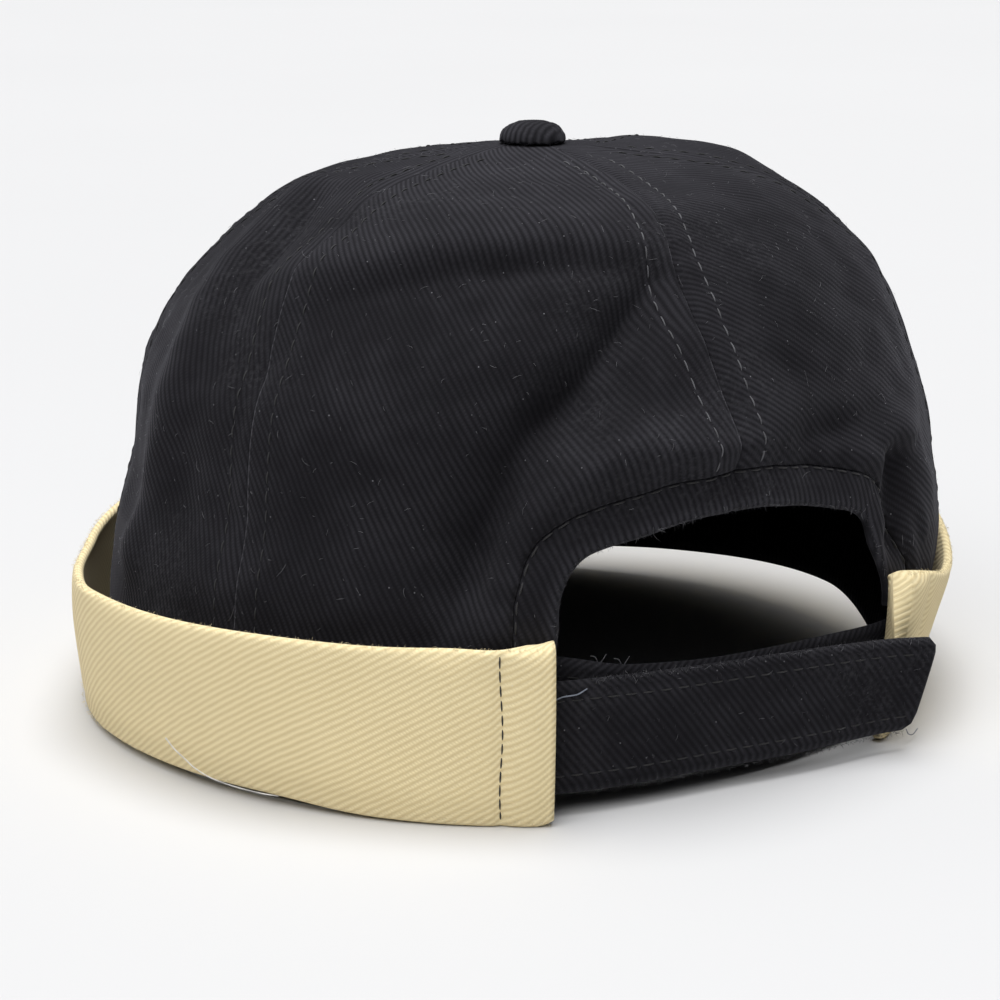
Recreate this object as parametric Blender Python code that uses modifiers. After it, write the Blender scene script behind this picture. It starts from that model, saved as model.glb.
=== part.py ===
"""Brimless cap: six black twill panels, a covered button, a turned-up cream cuff and an
arched opening at the back that two straps close. Metres, +Z up. The opening faces +Y and
the wearer's left is +X. Azimuths are degrees from the back seam towards the wearer's left.
"""

import math

import bpy
import numpy as np

# Driving dimensions, in metres
CAP_LENGTH = 0.185        # the crown at its rim, front to back
CAP_WIDTH = 0.175         # the crown at its rim, side to side
CROWN_HEIGHT = 0.1184     # from the surface that it stands on to the top of the crown
CROWN_CLOTH = 0.0015      # wall of a crown panel
APEX_LEAN = 0.008         # how far the top leans towards the wearer's right
APEX_HOLE = 0.0030        # radius left open where the panels meet
CLEARANCE = 0.0003        # gap between pieces that lie on each other
SEAM_GAP = 0.0006         # between the edges of two panels

CUFF_HEIGHT = 0.036
CUFF_CLOTH = 0.0024       # the folded strip of the cuff
CUFF_LEFT_END = 23.8      # degrees
CUFF_RIGHT_END = 330.5    # degrees
CUFF_HEM = 0.010          # length of the thick hem at each end of the cuff

ARCH_WIDTH = 0.083        # of the back opening, at its foot
ARCH_HEIGHT = 0.0573      # from the standing surface to the top of the arch
ARCH_SHIFT = 0.0047       # of the arch's middle, towards the wearer's right
FACING_WIDTH = 0.008
FACING_CLOTH = 0.0012
FACING_GAP = 0.0006       # between the facing and the panels, whose facets differ a little
FACING_FOOT = 0.033       # height at which the facing's two ends stop

STRAP_WIDTH = 0.0225
STRAP_CLOTH = 0.0020
STRAP_SLANT = 0.0012      # how much further the outer strap's upper corner reaches
STRAP_FOOT = 0.0045       # height of the straps' lower edges

BUTTON_RADIUS = 0.0071
BUTTON_HEIGHT = 0.0042
SHANK_RADIUS = 0.0020
SHANK_LENGTH = 0.0030

# How finely the cloth is faceted
PANEL_COLUMNS = 14
PANEL_ROWS = 20
CUFF_STATIONS = 60
CUFF_LEVELS = 4
STRAP_STATIONS = 24
STRAP_LEVELS = 3
BUTTON_STEPS = 22

# The rim, walked round from the back seam. reach is a share of the plain oval; lift,
# height, foot_off and top_off are shares of the cuff's height: how far the rim stands off
# the floor, the cuff's own height, and how far the cuff stands off the crown.
RIM = (
    # azimuth, reach, lift, height, foot_off, top_off
    (0, 1.000, 0.00, 1.00, 0.00, 0.02),
    (27, 1.010, 0.00, 1.00, 0.00, 0.09),
    (45, 1.015, 0.00, 0.97, 0.01, 0.12),
    (60, 1.015, 0.07, 0.93, 0.02, 0.20),
    (90, 1.005, 0.04, 0.89, 0.06, 0.23),
    (120, 0.965, 0.00, 0.89, 0.11, 0.11),
    (150, 0.965, 0.00, 0.94, 0.05, 0.09),
    (180, 0.995, 0.00, 0.97, 0.02, 0.06),
    (210, 0.985, 0.12, 0.93, 0.01, 0.05),
    (240, 0.990, 0.22, 0.86, 0.01, 0.04),
    (275, 0.985, 0.30, 0.76, 0.01, 0.03),
    (300, 0.980, 0.08, 0.83, 0.01, 0.03),
    (315, 0.980, 0.00, 0.88, 0.01, 0.06),
    (331, 0.975, 0.00, 1.03, 0.00, 0.09),
)

# The crown's sections from the rim up: height as a share of the crown's height, and the
# reach on each side as a share of the rim's.
SECTIONS = (
    # height, back, left, front, right
    (0, 1.00, 1.00, 1.00, 1.00),
    (0.146, 1.00, 1.00, 1.01, 1.09),
    (0.293, 0.99, 0.985, 1.01, 1.14),
    (0.439, 0.96, 0.945, 1.00, 1.10),
    (0.585, 0.92, 0.935, 0.96, 1.03),
    (0.702, 0.86, 0.875, 0.90, 0.955),
    (0.8, 0.77, 0.785, 0.795, 0.87),
    (0.878, 0.65, 0.66, 0.69, 0.75),
    (0.936, 0.51, 0.52, 0.54, 0.61),
    (0.966, 0.33, 0.33, 0.35, 0.40),
    (1.00, 0.05, 0.05, 0.05, 0.05),
)

# Seams between panels: their azimuths at the rim, a third and two thirds of the way up,
# and at the top.
SEAMS = (
    # rim, lower, upper, top
    (0, 0, 3, -10),
    (65, 67.5, 71, 85),
    (122, 123, 125, 130),
    (180, 180, 181, 182),
    (240, 240, 240, 240),
    (298, 298, 297, 295),
)
PANEL_NAMES = (
    "crown_back_left",
    "crown_side_left",
    "crown_front_left",
    "crown_front_right",
    "crown_side_right",
    "crown_back_right",
)

# Folds of the cloth: three points each (azimuth and share of the crown's height), and the
# width and the rise outwards as shares of the crown's height. A negative rise is a hollow.
FOLDS = (
    # az_1, h_1, az_2, h_2, az_3, h_3, width, rise
    (108, 0.927, 89, 0.732, 93, 0.322, 0.055, 0.018),    # crease down the left side
    (69, 0.81, 44, 0.868, 16, 0.878, 0.110, 0.020),     # broad bulge high on the back left
    (58, 0.771, 38, 0.8, 18, 0.819, 0.060, -0.016),    # hollow below it
    (11, 0.8, 24, 0.644, 33, 0.371, 0.075, -0.050),    # slanting hollow beside the arch
    (5, 0.576, 21, 0.546, 31, 0.312, 0.050, 0.020),      # puffed ridge over the arch
    (-6, 0.595, -30, 0.585, -43, 0.41, 0.060, 0.016),   # ridge from the arch's right corner
    (-33, 0.478, -33, 0.419, -32, 0.341, 0.035, -0.024),  # pinched hollow at that corner
    (-110, 0.961, -101, 0.951, -92, 0.936, 0.085, 0.022),  # hump right of the button
    (-90, 0.605, -120, 0.537, -150, 0.605, 0.100, -0.018),  # soft hollow, front right
    (150, 0.683, 170, 0.761, 200, 0.702, 0.100, -0.014),  # soft hollow, front
)

# The arch from its left foot to its right foot, as shares of its width and height
ARCH = (
    # across, up
    (0.505, 0.00),
    (0.500, 0.40),
    (0.480, 0.70),
    (0.450, 0.82),
    (0.395, 0.895),
    (0.290, 0.940),
    (0.150, 0.985),
    (0.000, 1.000),
    (-0.150, 0.975),
    (-0.300, 0.925),
    (-0.385, 0.885),
    (-0.420, 0.840),
    (-0.435, 0.760),
    (-0.475, 0.660),
    (-0.505, 0.550),
    (-0.520, 0.000),
)

# Where the straps run: inside the crown, free across the opening, or outside the cuff. The
# inset is a share of the cuff's height and moves the strap further in. The rise and the
# width are shares of the strap's width.
OUTER_STRAP = (
    # azimuth, lies, inset, rise, width
    (37, "inside", 0.00, 0, 1.00),
    (31, "inside", 0.00, 0, 1.00),
    (25, "inside", 0.00, 0, 1.00),
    (10, "free", 0.19, 0, 0.98),
    (0, "free", 0.20, 0, 0.97),
    (-13, "free", 0.09, 0, 0.95),
    (-25, "free", -0.12, 0, 0.92),
    (-30, "outside", -0.15, 0, 0.90),
)
INNER_STRAP = (
    # azimuth, lies, inset, rise, width
    (-40, "inside", 0.00, 0, 0.90),
    (-34, "inside", 0.00, 0, 0.90),
    (-24, "free", 0.16, 0, 0.92),
    (-12, "free", 0.26, 0, 0.94),
    (0, "free", 0.31, 0, 0.96),
    (12, "free", 0.27, 0.04, 0.98),
    (24, "free", 0.19, 0.18, 1.00),
    (34, "free", 0.19, 0.22, 1.00),
)

BLACK_TWILL = (0.014, 0.014, 0.017, 1.0)
CREAM_TWILL = (0.640, 0.530, 0.330, 1.0)


def monotone_curve(x, xs, ys):
    """Values at x of the smooth curve through (xs, ys), which never overshoots its points."""
    x = np.clip(np.asarray(x, float), xs[0], xs[-1])
    step = np.diff(xs)
    slope = np.diff(ys) / step
    before, after = slope[:-1], slope[1:]
    same = before * after > 0
    safe = np.where(same, before + after, 1.0)
    inner = np.where(same, 2.0 * before * after / safe, 0.0)
    tangent = np.concatenate(([slope[0]], inner, [slope[-1]]))
    index = np.clip(np.searchsorted(xs, x, side="right") - 1, 0, len(xs) - 2)
    t = (x - xs[index]) / step[index]
    rise = ys[index + 1] - ys[index]
    start = tangent[index] * step[index]
    end = tangent[index + 1] * step[index]
    return ys[index] + start * t + (3 * rise - 2 * start - end) * t**2 + (start + end - 2 * rise) * t**3


def column(table, number):
    """One column of a table as an array."""
    return np.array([row[number] for row in table], float)


def rim_value(azimuth, number):
    """A column of RIM, read smoothly round the whole rim."""
    angles = column(RIM, 0)
    values = column(RIM, number)
    angles = np.concatenate((angles[-2:] - 360, angles, angles[:3] + 360))
    values = np.concatenate((values[-2:], values, values[:3]))
    return monotone_curve(np.mod(azimuth, 360), angles, values)


def rim_lift(azimuth):
    return CUFF_HEIGHT * rim_value(azimuth, 2)


def section_height(run):
    """Height share at a run of 0 (rim) to 1 (top)."""
    return monotone_curve(run, np.linspace(0, 1, len(SECTIONS)), column(SECTIONS, 0))


def run_at_height(share):
    runs = np.linspace(0, 1, 401)
    return np.interp(share, section_height(runs), runs)


def crown_base(azimuth, run):
    """The crown's outer surface without its folds; arrays in, points out."""
    azimuth, run = np.broadcast_arrays(np.asarray(azimuth, float), np.asarray(run, float))
    angle = np.radians(azimuth)
    sine, cosine = np.sin(angle), np.cos(angle)
    oval = 1 / np.hypot(sine / (CAP_WIDTH / 2), cosine / (CAP_LENGTH / 2))
    rows = np.linspace(0, 1, len(SECTIONS))
    back, left, front, right = (monotone_curve(run, rows, column(SECTIONS, k)) for k in (1, 2, 3, 4))
    lengthwise = np.where(cosine > 0, back, front) * cosine**2
    sideways = np.where(sine > 0, left, right) * sine**2
    radius = oval * rim_value(azimuth, 1) * (lengthwise + sideways)
    height = section_height(run)
    foot = rim_lift(azimuth) + CUFF_CLOTH + CLEARANCE
    z = foot + (CROWN_HEIGHT - foot) * height
    return np.stack((radius * sine - APEX_LEAN * height**2, radius * cosine, z), axis=-1)


def surface_normal(surface, azimuth, run):
    """Outward unit normals of a crown surface."""
    turn, climb = 0.5, 0.004
    across = surface(azimuth + turn, run) - surface(azimuth - turn, run)
    along = surface(azimuth, np.clip(run + climb, 0, 1)) - surface(azimuth, np.clip(run - climb, 0, 1))
    normal = np.cross(along, across)
    return normal / np.linalg.norm(normal, axis=-1, keepdims=True)


def distance_to_path(points, path):
    """Least distance from each point to a path of straight pieces."""
    least = np.full(points.shape[:-1], np.inf)
    for start, end in zip(path[:-1], path[1:]):
        piece = end - start
        share = np.clip(((points - start) @ piece) / (piece @ piece), 0, 1)
        nearest = start + share[..., None] * piece
        least = np.minimum(least, np.linalg.norm(points - nearest, axis=-1))
    return least


def fold_rise(points):
    """How far the folds push the crown's surface outwards at each point."""
    rise = np.zeros(points.shape[:-1])
    for az_1, h_1, az_2, h_2, az_3, h_3, width, height in FOLDS:
        t = np.linspace(0, 1, 9)
        weights = ((1 - t) * (1 - 2 * t), 4 * t * (1 - t), t * (2 * t - 1))
        azimuths = sum(w * az for w, az in zip(weights, (az_1, az_2, az_3)))
        heights = sum(w * h for w, h in zip(weights, (h_1, h_2, h_3)))
        path = crown_base(azimuths, run_at_height(heights))
        near = distance_to_path(points, path) / (width * CROWN_HEIGHT)
        rise += height * CROWN_HEIGHT * np.exp(-near**2)
    return rise


def crown_surface(azimuth, run):
    """The crown's outer surface with its folds. They fade out at the button and the rim."""
    azimuth, run = np.broadcast_arrays(np.asarray(azimuth, float), np.asarray(run, float))
    points = crown_base(azimuth, run)
    fade = np.clip((0.97 - run) / 0.10, 0, 1) * np.clip(run / 0.15, 0, 1)
    rise = fold_rise(points) * fade
    return points + surface_normal(crown_base, azimuth, run) * rise[..., None]


def crown_skin(azimuth, run, depth):
    """The crown's surface moved inwards by a depth."""
    return crown_surface(azimuth, run) - depth * surface_normal(crown_surface, azimuth, run)


def wall_radius(azimuth, z):
    """Distance of the crown's outer face from the axis at a height, at one azimuth."""
    runs = np.linspace(0, 0.6, 61)
    wall = crown_surface(np.full_like(runs, azimuth), runs)
    return np.interp(z, wall[:, 2], np.hypot(wall[:, 0], wall[:, 1]))


def cuff_stand_off(azimuth, z):
    """How far the cuff stands off the crown's wall at a height."""
    share = np.clip((z - rim_lift(azimuth)) / CUFF_HEIGHT, 0, 1)
    foot_off, top_off = rim_value(azimuth, 4), rim_value(azimuth, 5)
    return CUFF_HEIGHT * (foot_off + (top_off - foot_off) * share)


def cuff_outer_radius(azimuth, z):
    return wall_radius(azimuth, z) + CLEARANCE + cuff_stand_off(azimuth, z) + CUFF_CLOTH


def cuff_inner_radius(azimuth, z):
    """Inner face of the cuff. The hems at its ends fill the gap to the crown's wall."""
    hem = math.degrees(CUFF_HEM / (CAP_LENGTH / 2))
    from_end = min(azimuth - CUFF_LEFT_END, CUFF_RIGHT_END - azimuth) / hem
    share = min(max(2 * from_end - 1, 0), 1)
    return wall_radius(azimuth, z) + CLEARANCE + share * cuff_stand_off(azimuth, z)


def on_azimuth(azimuth, radius, z):
    angle = math.radians(azimuth)
    return (radius * math.sin(angle), radius * math.cos(angle), z)


def new_material(name, colour, roughness):
    material = bpy.data.materials.new(name)
    material.use_nodes = True
    shader = material.node_tree.nodes["Principled BSDF"]
    shader.inputs["Base Color"].default_value = colour
    shader.inputs["Roughness"].default_value = roughness
    shader.inputs["Metallic"].default_value = 0.0
    return material


def mesh_object(name, vertices, faces, material, collection):
    """An object of a mesh that is shaded smooth across its soft edges."""
    mesh = bpy.data.meshes.new(name)
    mesh.from_pydata([tuple(vertex) for vertex in vertices], [], faces)
    mesh.shade_smooth()
    mesh.set_sharp_from_angle(angle=math.radians(40))
    if material:
        mesh.materials.append(material)
    made = bpy.data.objects.new(name, mesh)
    collection.objects.link(made)
    return made


def cloth_object(name, points, wall, offset, material, collection):
    """An open surface through a grid of points, made a wall by Solidify.

    The grid's rows run upwards and its columns towards the wearer's left. An offset of -1
    puts the whole wall inside the surface, and 0 half on each side.
    """
    rows, columns = points.shape[:2]
    faces = []
    for row in range(rows - 1):
        for place in range(columns - 1):
            a = row * columns + place
            b, c, d = a + 1, a + columns + 1, a + columns
            faces += [(a, c, b), (a, d, c)]
    cloth = mesh_object(name, points.reshape(-1, 3), faces, material, collection)
    solidify = cloth.modifiers.new("cloth", "SOLIDIFY")
    solidify.thickness = wall
    solidify.offset = offset
    return cloth


def loft_object(name, loops, material, collection):
    """A solid through closed loops of points, capped at both ends.

    Each loop turns clockwise as seen along the way from the first loop to the last.
    """
    count = len(loops[0])
    vertices = [point for loop in loops for point in loop]
    faces = []
    for station in range(len(loops) - 1):
        for place in range(count):
            a = station * count + place
            b = station * count + (place + 1) % count
            faces.append((a, b, b + count, a + count))
    last = (len(loops) - 1) * count
    faces.append(tuple(range(count - 1, -1, -1)))
    faces.append(tuple(range(last, last + count)))
    return mesh_object(name, vertices, faces, material, collection)


def seam_azimuth(seam, run):
    """Azimuth of a seam at a run up the crown. Seam 6 is the first one, a full turn on."""
    turn, number = divmod(seam, len(SEAMS))
    return monotone_curve(run, np.linspace(0, 1, 4), np.array(SEAMS[number], float)) + 360 * turn


def apex_run():
    """The run at which the panels stop, so that a small hole is left under the button."""
    runs = np.linspace(0.9, 1.0, 101)
    reach = crown_base(np.full_like(runs, 90.0), runs)[:, 0] + APEX_LEAN * section_height(runs)**2
    return float(np.interp(-APEX_HOLE, -reach, runs))


def panel_grid(number):
    """Azimuths and runs of the points of one gore, from seam to seam."""
    runs = np.linspace(0, apex_run(), PANEL_ROWS + 1)[:, None]
    shares = np.linspace(0, 1, PANEL_COLUMNS + 1)[None, :]
    left = seam_azimuth(number, runs)
    right = seam_azimuth(number + 1, runs)
    edge = crown_base((left + right) / 2, runs)
    radius = np.hypot(edge[..., 0] + APEX_LEAN * section_height(runs)**2, edge[..., 1])
    half_gap = np.degrees(SEAM_GAP / 2 / np.maximum(radius, APEX_HOLE))
    azimuth = left + half_gap + (right - left - 2 * half_gap) * shares
    return np.broadcast_arrays(azimuth, runs)


def make_panel(number, material, collection):
    """One gore of the crown between two seams."""
    points = crown_surface(*panel_grid(number))
    return cloth_object(PANEL_NAMES[number], points, CROWN_CLOTH, -1, material, collection)


def arch_outline(spread):
    """The arch's outline as (x, z) points, moved outwards by a spread."""
    across = column(ARCH, 0) * ARCH_WIDTH - ARCH_SHIFT
    up = column(ARCH, 1) * ARCH_HEIGHT
    along = np.stack((np.gradient(across), np.gradient(up)), axis=-1)
    along /= np.linalg.norm(along, axis=-1, keepdims=True)
    x = across + spread * along[:, 1]
    z = up - spread * along[:, 0]
    return list(zip(x, z))


def make_arch_cutter(name, spread, foot, collection):
    """A prism through the back of the crown, with the arch's outline down to a foot."""
    outline = [point for point in arch_outline(spread) if point[1] > foot]
    outline = [(outline[0][0], foot)] + outline + [(outline[-1][0], foot)]
    loops = [[(x, y, z) for x, z in outline] for y in (CAP_LENGTH * 0.7, CAP_LENGTH * 0.25)]
    cutter = loft_object(name, loops, None, collection)
    cutter.hide_render = True
    cutter.display_type = "WIRE"
    return cutter


def cut_with(target, cutter, operation):
    """Adds an exact Boolean that stays on the object."""
    boolean = target.modifiers.new(f"{operation.lower()}_{cutter.name}", "BOOLEAN")
    boolean.operation = operation
    boolean.solver = "EXACT"
    boolean.object = cutter


def make_facing(material, collection):
    """The band turned in behind the edge of the arch, before it is cut to shape.

    It takes the points of the two back panels, so that its facets lie along theirs.
    """
    grids = [panel_grid(number) for number in (len(SEAMS) - 1, 0)]
    azimuth = np.concatenate((grids[0][0] - 360, grids[1][0]), axis=1)
    run = np.concatenate((grids[0][1], grids[1][1]), axis=1)
    low = int(run_at_height(FACING_FOOT / CROWN_HEIGHT) * PANEL_ROWS)
    high = int(run_at_height((ARCH_HEIGHT + FACING_WIDTH) / CROWN_HEIGHT) * PANEL_ROWS) + 2
    first = int(PANEL_COLUMNS * 0.3)
    kept = (slice(low, high + 1), slice(first, -first))
    points = crown_skin(azimuth[kept], run[kept], CROWN_CLOTH + FACING_GAP)
    return cloth_object("opening_facing", points, FACING_CLOTH, -1, material, collection)


def cuff_loop(azimuth):
    """The cuff's closed section at one azimuth: a foot under the crown's edge and a wall."""
    lift = float(rim_lift(azimuth))
    top = lift + CUFF_HEIGHT * float(rim_value(azimuth, 3))
    foot_top = lift + CUFF_CLOTH
    foot_inner = float(wall_radius(azimuth, foot_top)) - CROWN_CLOTH
    corner = CUFF_CLOTH * 0.3
    fold = CUFF_CLOTH / 2
    levels = np.linspace(foot_top, top - fold, CUFF_LEVELS + 1)
    inner = [float(cuff_inner_radius(azimuth, z)) for z in levels]
    outer = [float(cuff_outer_radius(azimuth, z)) for z in levels]
    profile = [(foot_inner, lift), (outer[0] - corner, lift), (outer[0], lift + corner)]
    profile += list(zip(outer[1:], levels[1:]))
    profile += [(outer[-1] - fold, top), (inner[-1] + fold * 0.8, top)]
    profile += [(radius, z) for radius, z in reversed(list(zip(inner, levels)))]
    profile += [(foot_inner, foot_top)]
    return [on_azimuth(azimuth, radius, z) for radius, z in profile]


def make_cuff(material, collection):
    azimuths = np.linspace(CUFF_LEFT_END, CUFF_RIGHT_END, CUFF_STATIONS + 1)
    loops = [cuff_loop(float(azimuth)) for azimuth in azimuths]
    return loft_object("cuff", loops, material, collection)


def strap_radius(azimuth, lies, inset, z):
    """Distance of the strap's middle from the axis."""
    if lies == "inside":
        base = wall_radius(azimuth, z) - CROWN_CLOTH - CLEARANCE - STRAP_CLOTH / 2
    elif lies == "outside":
        base = cuff_outer_radius(azimuth, z) + CLEARANCE + STRAP_CLOTH / 2
    else:
        base = wall_radius(azimuth, z)
    return float(base - inset * CUFF_HEIGHT)


def make_strap(name, rows, slant, material, collection):
    """A flat strap that follows its rows. The slant cuts its last end askew."""
    stations = np.linspace(0, 1, STRAP_STATIONS + 1)
    middle = np.zeros((STRAP_LEVELS + 1, STRAP_STATIONS + 1, 3))
    for level, up in enumerate(np.linspace(0, 1, STRAP_LEVELS + 1)):
        points = []
        for azimuth, lies, inset, rise, width in rows:
            z = STRAP_FOOT + STRAP_WIDTH * (rise + up * width)
            points.append(on_azimuth(azimuth, strap_radius(azimuth, lies, inset, z), z))
        points = np.array(points)
        pieces = np.linalg.norm(np.diff(points, axis=0), axis=1)
        length = np.concatenate(([0], np.cumsum(pieces)))
        reach = length[-1] - slant * (1 - up)
        for axis in range(3):
            middle[level, :, axis] = monotone_curve(stations * reach, length, points[:, axis])
    return cloth_object(name, middle, STRAP_CLOTH, 0, material, collection)


def make_button(material, collection):
    """The covered button: a turned dome with a shank through the hole in the crown."""
    seat = CROWN_HEIGHT + CLEARANCE
    dome = []
    for degrees in range(90, -1, -15):
        angle = math.radians(degrees)
        height = BUTTON_HEIGHT * (0.25 + 0.75 * math.sin(angle))
        dome.append((BUTTON_RADIUS * math.cos(angle), height))
    dome[0] = (0.0, BUTTON_HEIGHT)
    edge = BUTTON_RADIUS * 0.93
    profile = dome + [(edge, 0.0), (SHANK_RADIUS, 0.0), (SHANK_RADIUS, -SHANK_LENGTH), (0.0, -SHANK_LENGTH)]
    mesh = bpy.data.meshes.new("top_button")
    vertices = [(radius, 0.0, z) for radius, z in profile]
    mesh.from_pydata(vertices, [(k, k + 1) for k in range(len(vertices) - 1)], [])
    mesh.materials.append(material)
    button = bpy.data.objects.new("top_button", mesh)
    button.location = (-APEX_LEAN, 0.0, seat)
    collection.objects.link(button)
    screw = button.modifiers.new("turned", "SCREW")
    screw.axis = "Z"
    screw.angle = math.radians(360)
    screw.steps = BUTTON_STEPS
    screw.render_steps = BUTTON_STEPS
    screw.use_merge_vertices = True
    screw.merge_threshold = 0.0001
    return button


def stand_on_origin(objects):
    """Moves everything so that the origin lies under the middle of the object's box."""
    bpy.context.view_layer.update()
    graph = bpy.context.evaluated_depsgraph_get()
    corners = []
    for each in objects:
        seen = each.evaluated_get(graph)
        corners += [each.matrix_world @ vertex.co for vertex in seen.data.vertices]
    corners = np.array(corners)
    low, high = corners.min(axis=0), corners.max(axis=0)
    shift = (-(low[0] + high[0]) / 2, -(low[1] + high[1]) / 2, -low[2])
    for each in bpy.data.objects:
        each.location = tuple(place + move for place, move in zip(each.location, shift))


def main():
    for each in list(bpy.data.objects):
        bpy.data.objects.remove(each, do_unlink=True)
    cap = bpy.data.collections.new("docker_cap")
    cutters = bpy.data.collections.new("cutters")
    for each in (cap, cutters):
        bpy.context.scene.collection.children.link(each)

    panels = []
    for number, name in enumerate(PANEL_NAMES):
        panels.append(make_panel(number, new_material(name, BLACK_TWILL, 0.9), cap))
    arch = make_arch_cutter("arch_cutter", 0.0, -CUFF_HEIGHT, cutters)
    wide_arch = make_arch_cutter("wide_arch_cutter", FACING_WIDTH, FACING_FOOT, cutters)
    for each in (panels[0], panels[-1]):
        cut_with(each, arch, "DIFFERENCE")

    facing = make_facing(new_material("opening_facing", BLACK_TWILL, 0.9), cap)
    cut_with(facing, wide_arch, "INTERSECT")
    cut_with(facing, arch, "DIFFERENCE")

    cuff = make_cuff(new_material("cuff", CREAM_TWILL, 0.85), cap)
    outer_strap = make_strap(
        "strap_outer", OUTER_STRAP, STRAP_SLANT, new_material("strap_outer", BLACK_TWILL, 0.9), cap
    )
    inner_strap = make_strap(
        "strap_inner", INNER_STRAP, 0.0, new_material("strap_inner", BLACK_TWILL, 0.9), cap
    )
    button = make_button(new_material("top_button", BLACK_TWILL, 0.88), cap)
    stand_on_origin(panels + [facing, cuff, outer_strap, inner_strap, button])


main()
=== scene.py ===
"""Finishes a brimless docker cap on its fixed frame: cloth, stitches, lint, floor and light.

It is laid out as an add-on and run as a script. Metres, +Z up. The arched opening faces +Y
and the wearer's left is +X. Azimuths are degrees from the back seam towards the wearer's
left, and a run goes from 0 at the rim of the crown to 1 at its top.
"""

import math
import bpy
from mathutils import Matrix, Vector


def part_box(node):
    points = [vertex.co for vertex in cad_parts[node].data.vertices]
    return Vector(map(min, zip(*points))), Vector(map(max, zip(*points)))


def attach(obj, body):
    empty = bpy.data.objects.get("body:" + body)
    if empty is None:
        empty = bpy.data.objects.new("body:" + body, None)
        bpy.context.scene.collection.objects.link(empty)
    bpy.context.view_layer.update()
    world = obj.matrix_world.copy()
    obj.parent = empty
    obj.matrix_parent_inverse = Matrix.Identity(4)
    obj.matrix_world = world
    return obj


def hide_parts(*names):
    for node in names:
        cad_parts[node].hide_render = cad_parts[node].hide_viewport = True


bl_info = {
    "name": "Docker Cap Finish",
    "version": (1, 0, 0),
    "blender": (4, 5, 0),
    "location": "3D View > Sidebar > Docker Cap",
    "description": "Cloth panels, cuff, straps, stitches and lint for a brimless docker cap",
    "category": "Object",
}

import bpy
import numpy as np
from bpy.props import FloatProperty, FloatVectorProperty, IntProperty, PointerProperty
from bpy.types import Operator, Panel, PropertyGroup
from mathutils import Vector

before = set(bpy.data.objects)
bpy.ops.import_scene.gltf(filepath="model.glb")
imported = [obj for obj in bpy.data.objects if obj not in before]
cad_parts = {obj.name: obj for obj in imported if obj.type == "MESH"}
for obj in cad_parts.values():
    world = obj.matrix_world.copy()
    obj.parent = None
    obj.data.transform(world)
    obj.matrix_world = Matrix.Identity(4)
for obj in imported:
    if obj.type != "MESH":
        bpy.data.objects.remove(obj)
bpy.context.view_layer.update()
BUTTON_LOW, BUTTON_HIGH = (np.array(corner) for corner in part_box("top_button"))

# The rim, walked round from the back seam. reach is a share of the plain oval; lift,
# height, foot_off and top_off are shares of the cuff's height: how far the rim stands off
# the floor, the cuff's own height, and how far the cuff stands off the crown.
RIM = (
    # azimuth, reach, lift, height, foot_off, top_off
    (0, 1.000, 0.00, 1.00, 0.00, 0.02),
    (27, 1.010, 0.00, 1.00, 0.00, 0.09),
    (45, 1.015, 0.015, 0.97, 0.01, 0.12),
    (60, 1.015, 0.055, 0.93, 0.02, 0.20),
    (90, 1.005, 0.04, 0.89, 0.06, 0.23),
    (120, 0.965, 0.00, 0.89, 0.11, 0.11),
    (150, 0.965, 0.00, 0.94, 0.05, 0.09),
    (180, 0.995, 0.00, 0.97, 0.02, 0.06),
    (210, 0.985, 0.12, 0.93, 0.01, 0.05),
    (240, 0.990, 0.22, 0.86, 0.01, 0.04),
    (275, 0.985, 0.30, 0.76, 0.01, 0.03),
    (300, 0.980, 0.08, 0.83, 0.01, 0.03),
    (315, 0.980, 0.00, 0.88, 0.01, 0.06),
    (331, 0.975, 0.00, 1.03, 0.00, 0.09),
)

# The crown's sections: height as a share of the crown's, and the reach on each side as a
# share of the rim's.
SECTIONS = (
    # height, back, left, front, right
    (0, 1.00, 1.00, 1.00, 1.00),
    (0.146, 1.00, 1.00, 1.01, 1.09),
    (0.293, 0.99, 0.985, 1.01, 1.14),
    (0.439, 0.96, 0.945, 1.00, 1.10),
    (0.585, 0.92, 0.935, 0.96, 1.03),
    (0.702, 0.86, 0.875, 0.90, 0.955),
    (0.8, 0.77, 0.785, 0.795, 0.87),
    (0.878, 0.65, 0.66, 0.69, 0.75),
    (0.936, 0.51, 0.52, 0.54, 0.61),
    (0.966, 0.33, 0.33, 0.35, 0.40),
    (1.00, 0.05, 0.05, 0.05, 0.05),
)

# Seams between panels: azimuths at the rim, a third and two thirds of the way up and at
# the top, and how much each one shows.
SEAMS = (
    # rim, lower, upper, top, strength
    (0, 0, 3, -10, 0.65),
    (65, 67.5, 71, 85, 0.20),
    (122, 123, 125, 130, 0.50),
    (180, 180, 181, 182, 0.60),
    (240, 240, 240, 240, 0.50),
    (298, 298, 297, 295, 0.50),
)

# The six panels, from the back seam towards the wearer's left. The grain is the direction
# of the twill's ribs in degrees, seen from outside, and the cut is the flat width and
# length of the panel's cloth in metres with the share of that rectangle it fills.
PANELS = (
    # node, grain, cut width, cut length, share
    ("crown_back_left", 118, 0.106, 0.150, 0.74),
    ("crown_side_left", 118, 0.095, 0.150, 0.76),
    ("crown_front_left", 62, 0.095, 0.150, 0.80),
    ("crown_front_right", 118, 0.098, 0.150, 0.82),
    ("crown_side_right", 62, 0.100, 0.150, 0.78),
    ("crown_back_right", 141, 0.100, 0.150, 0.64),
)

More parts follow.
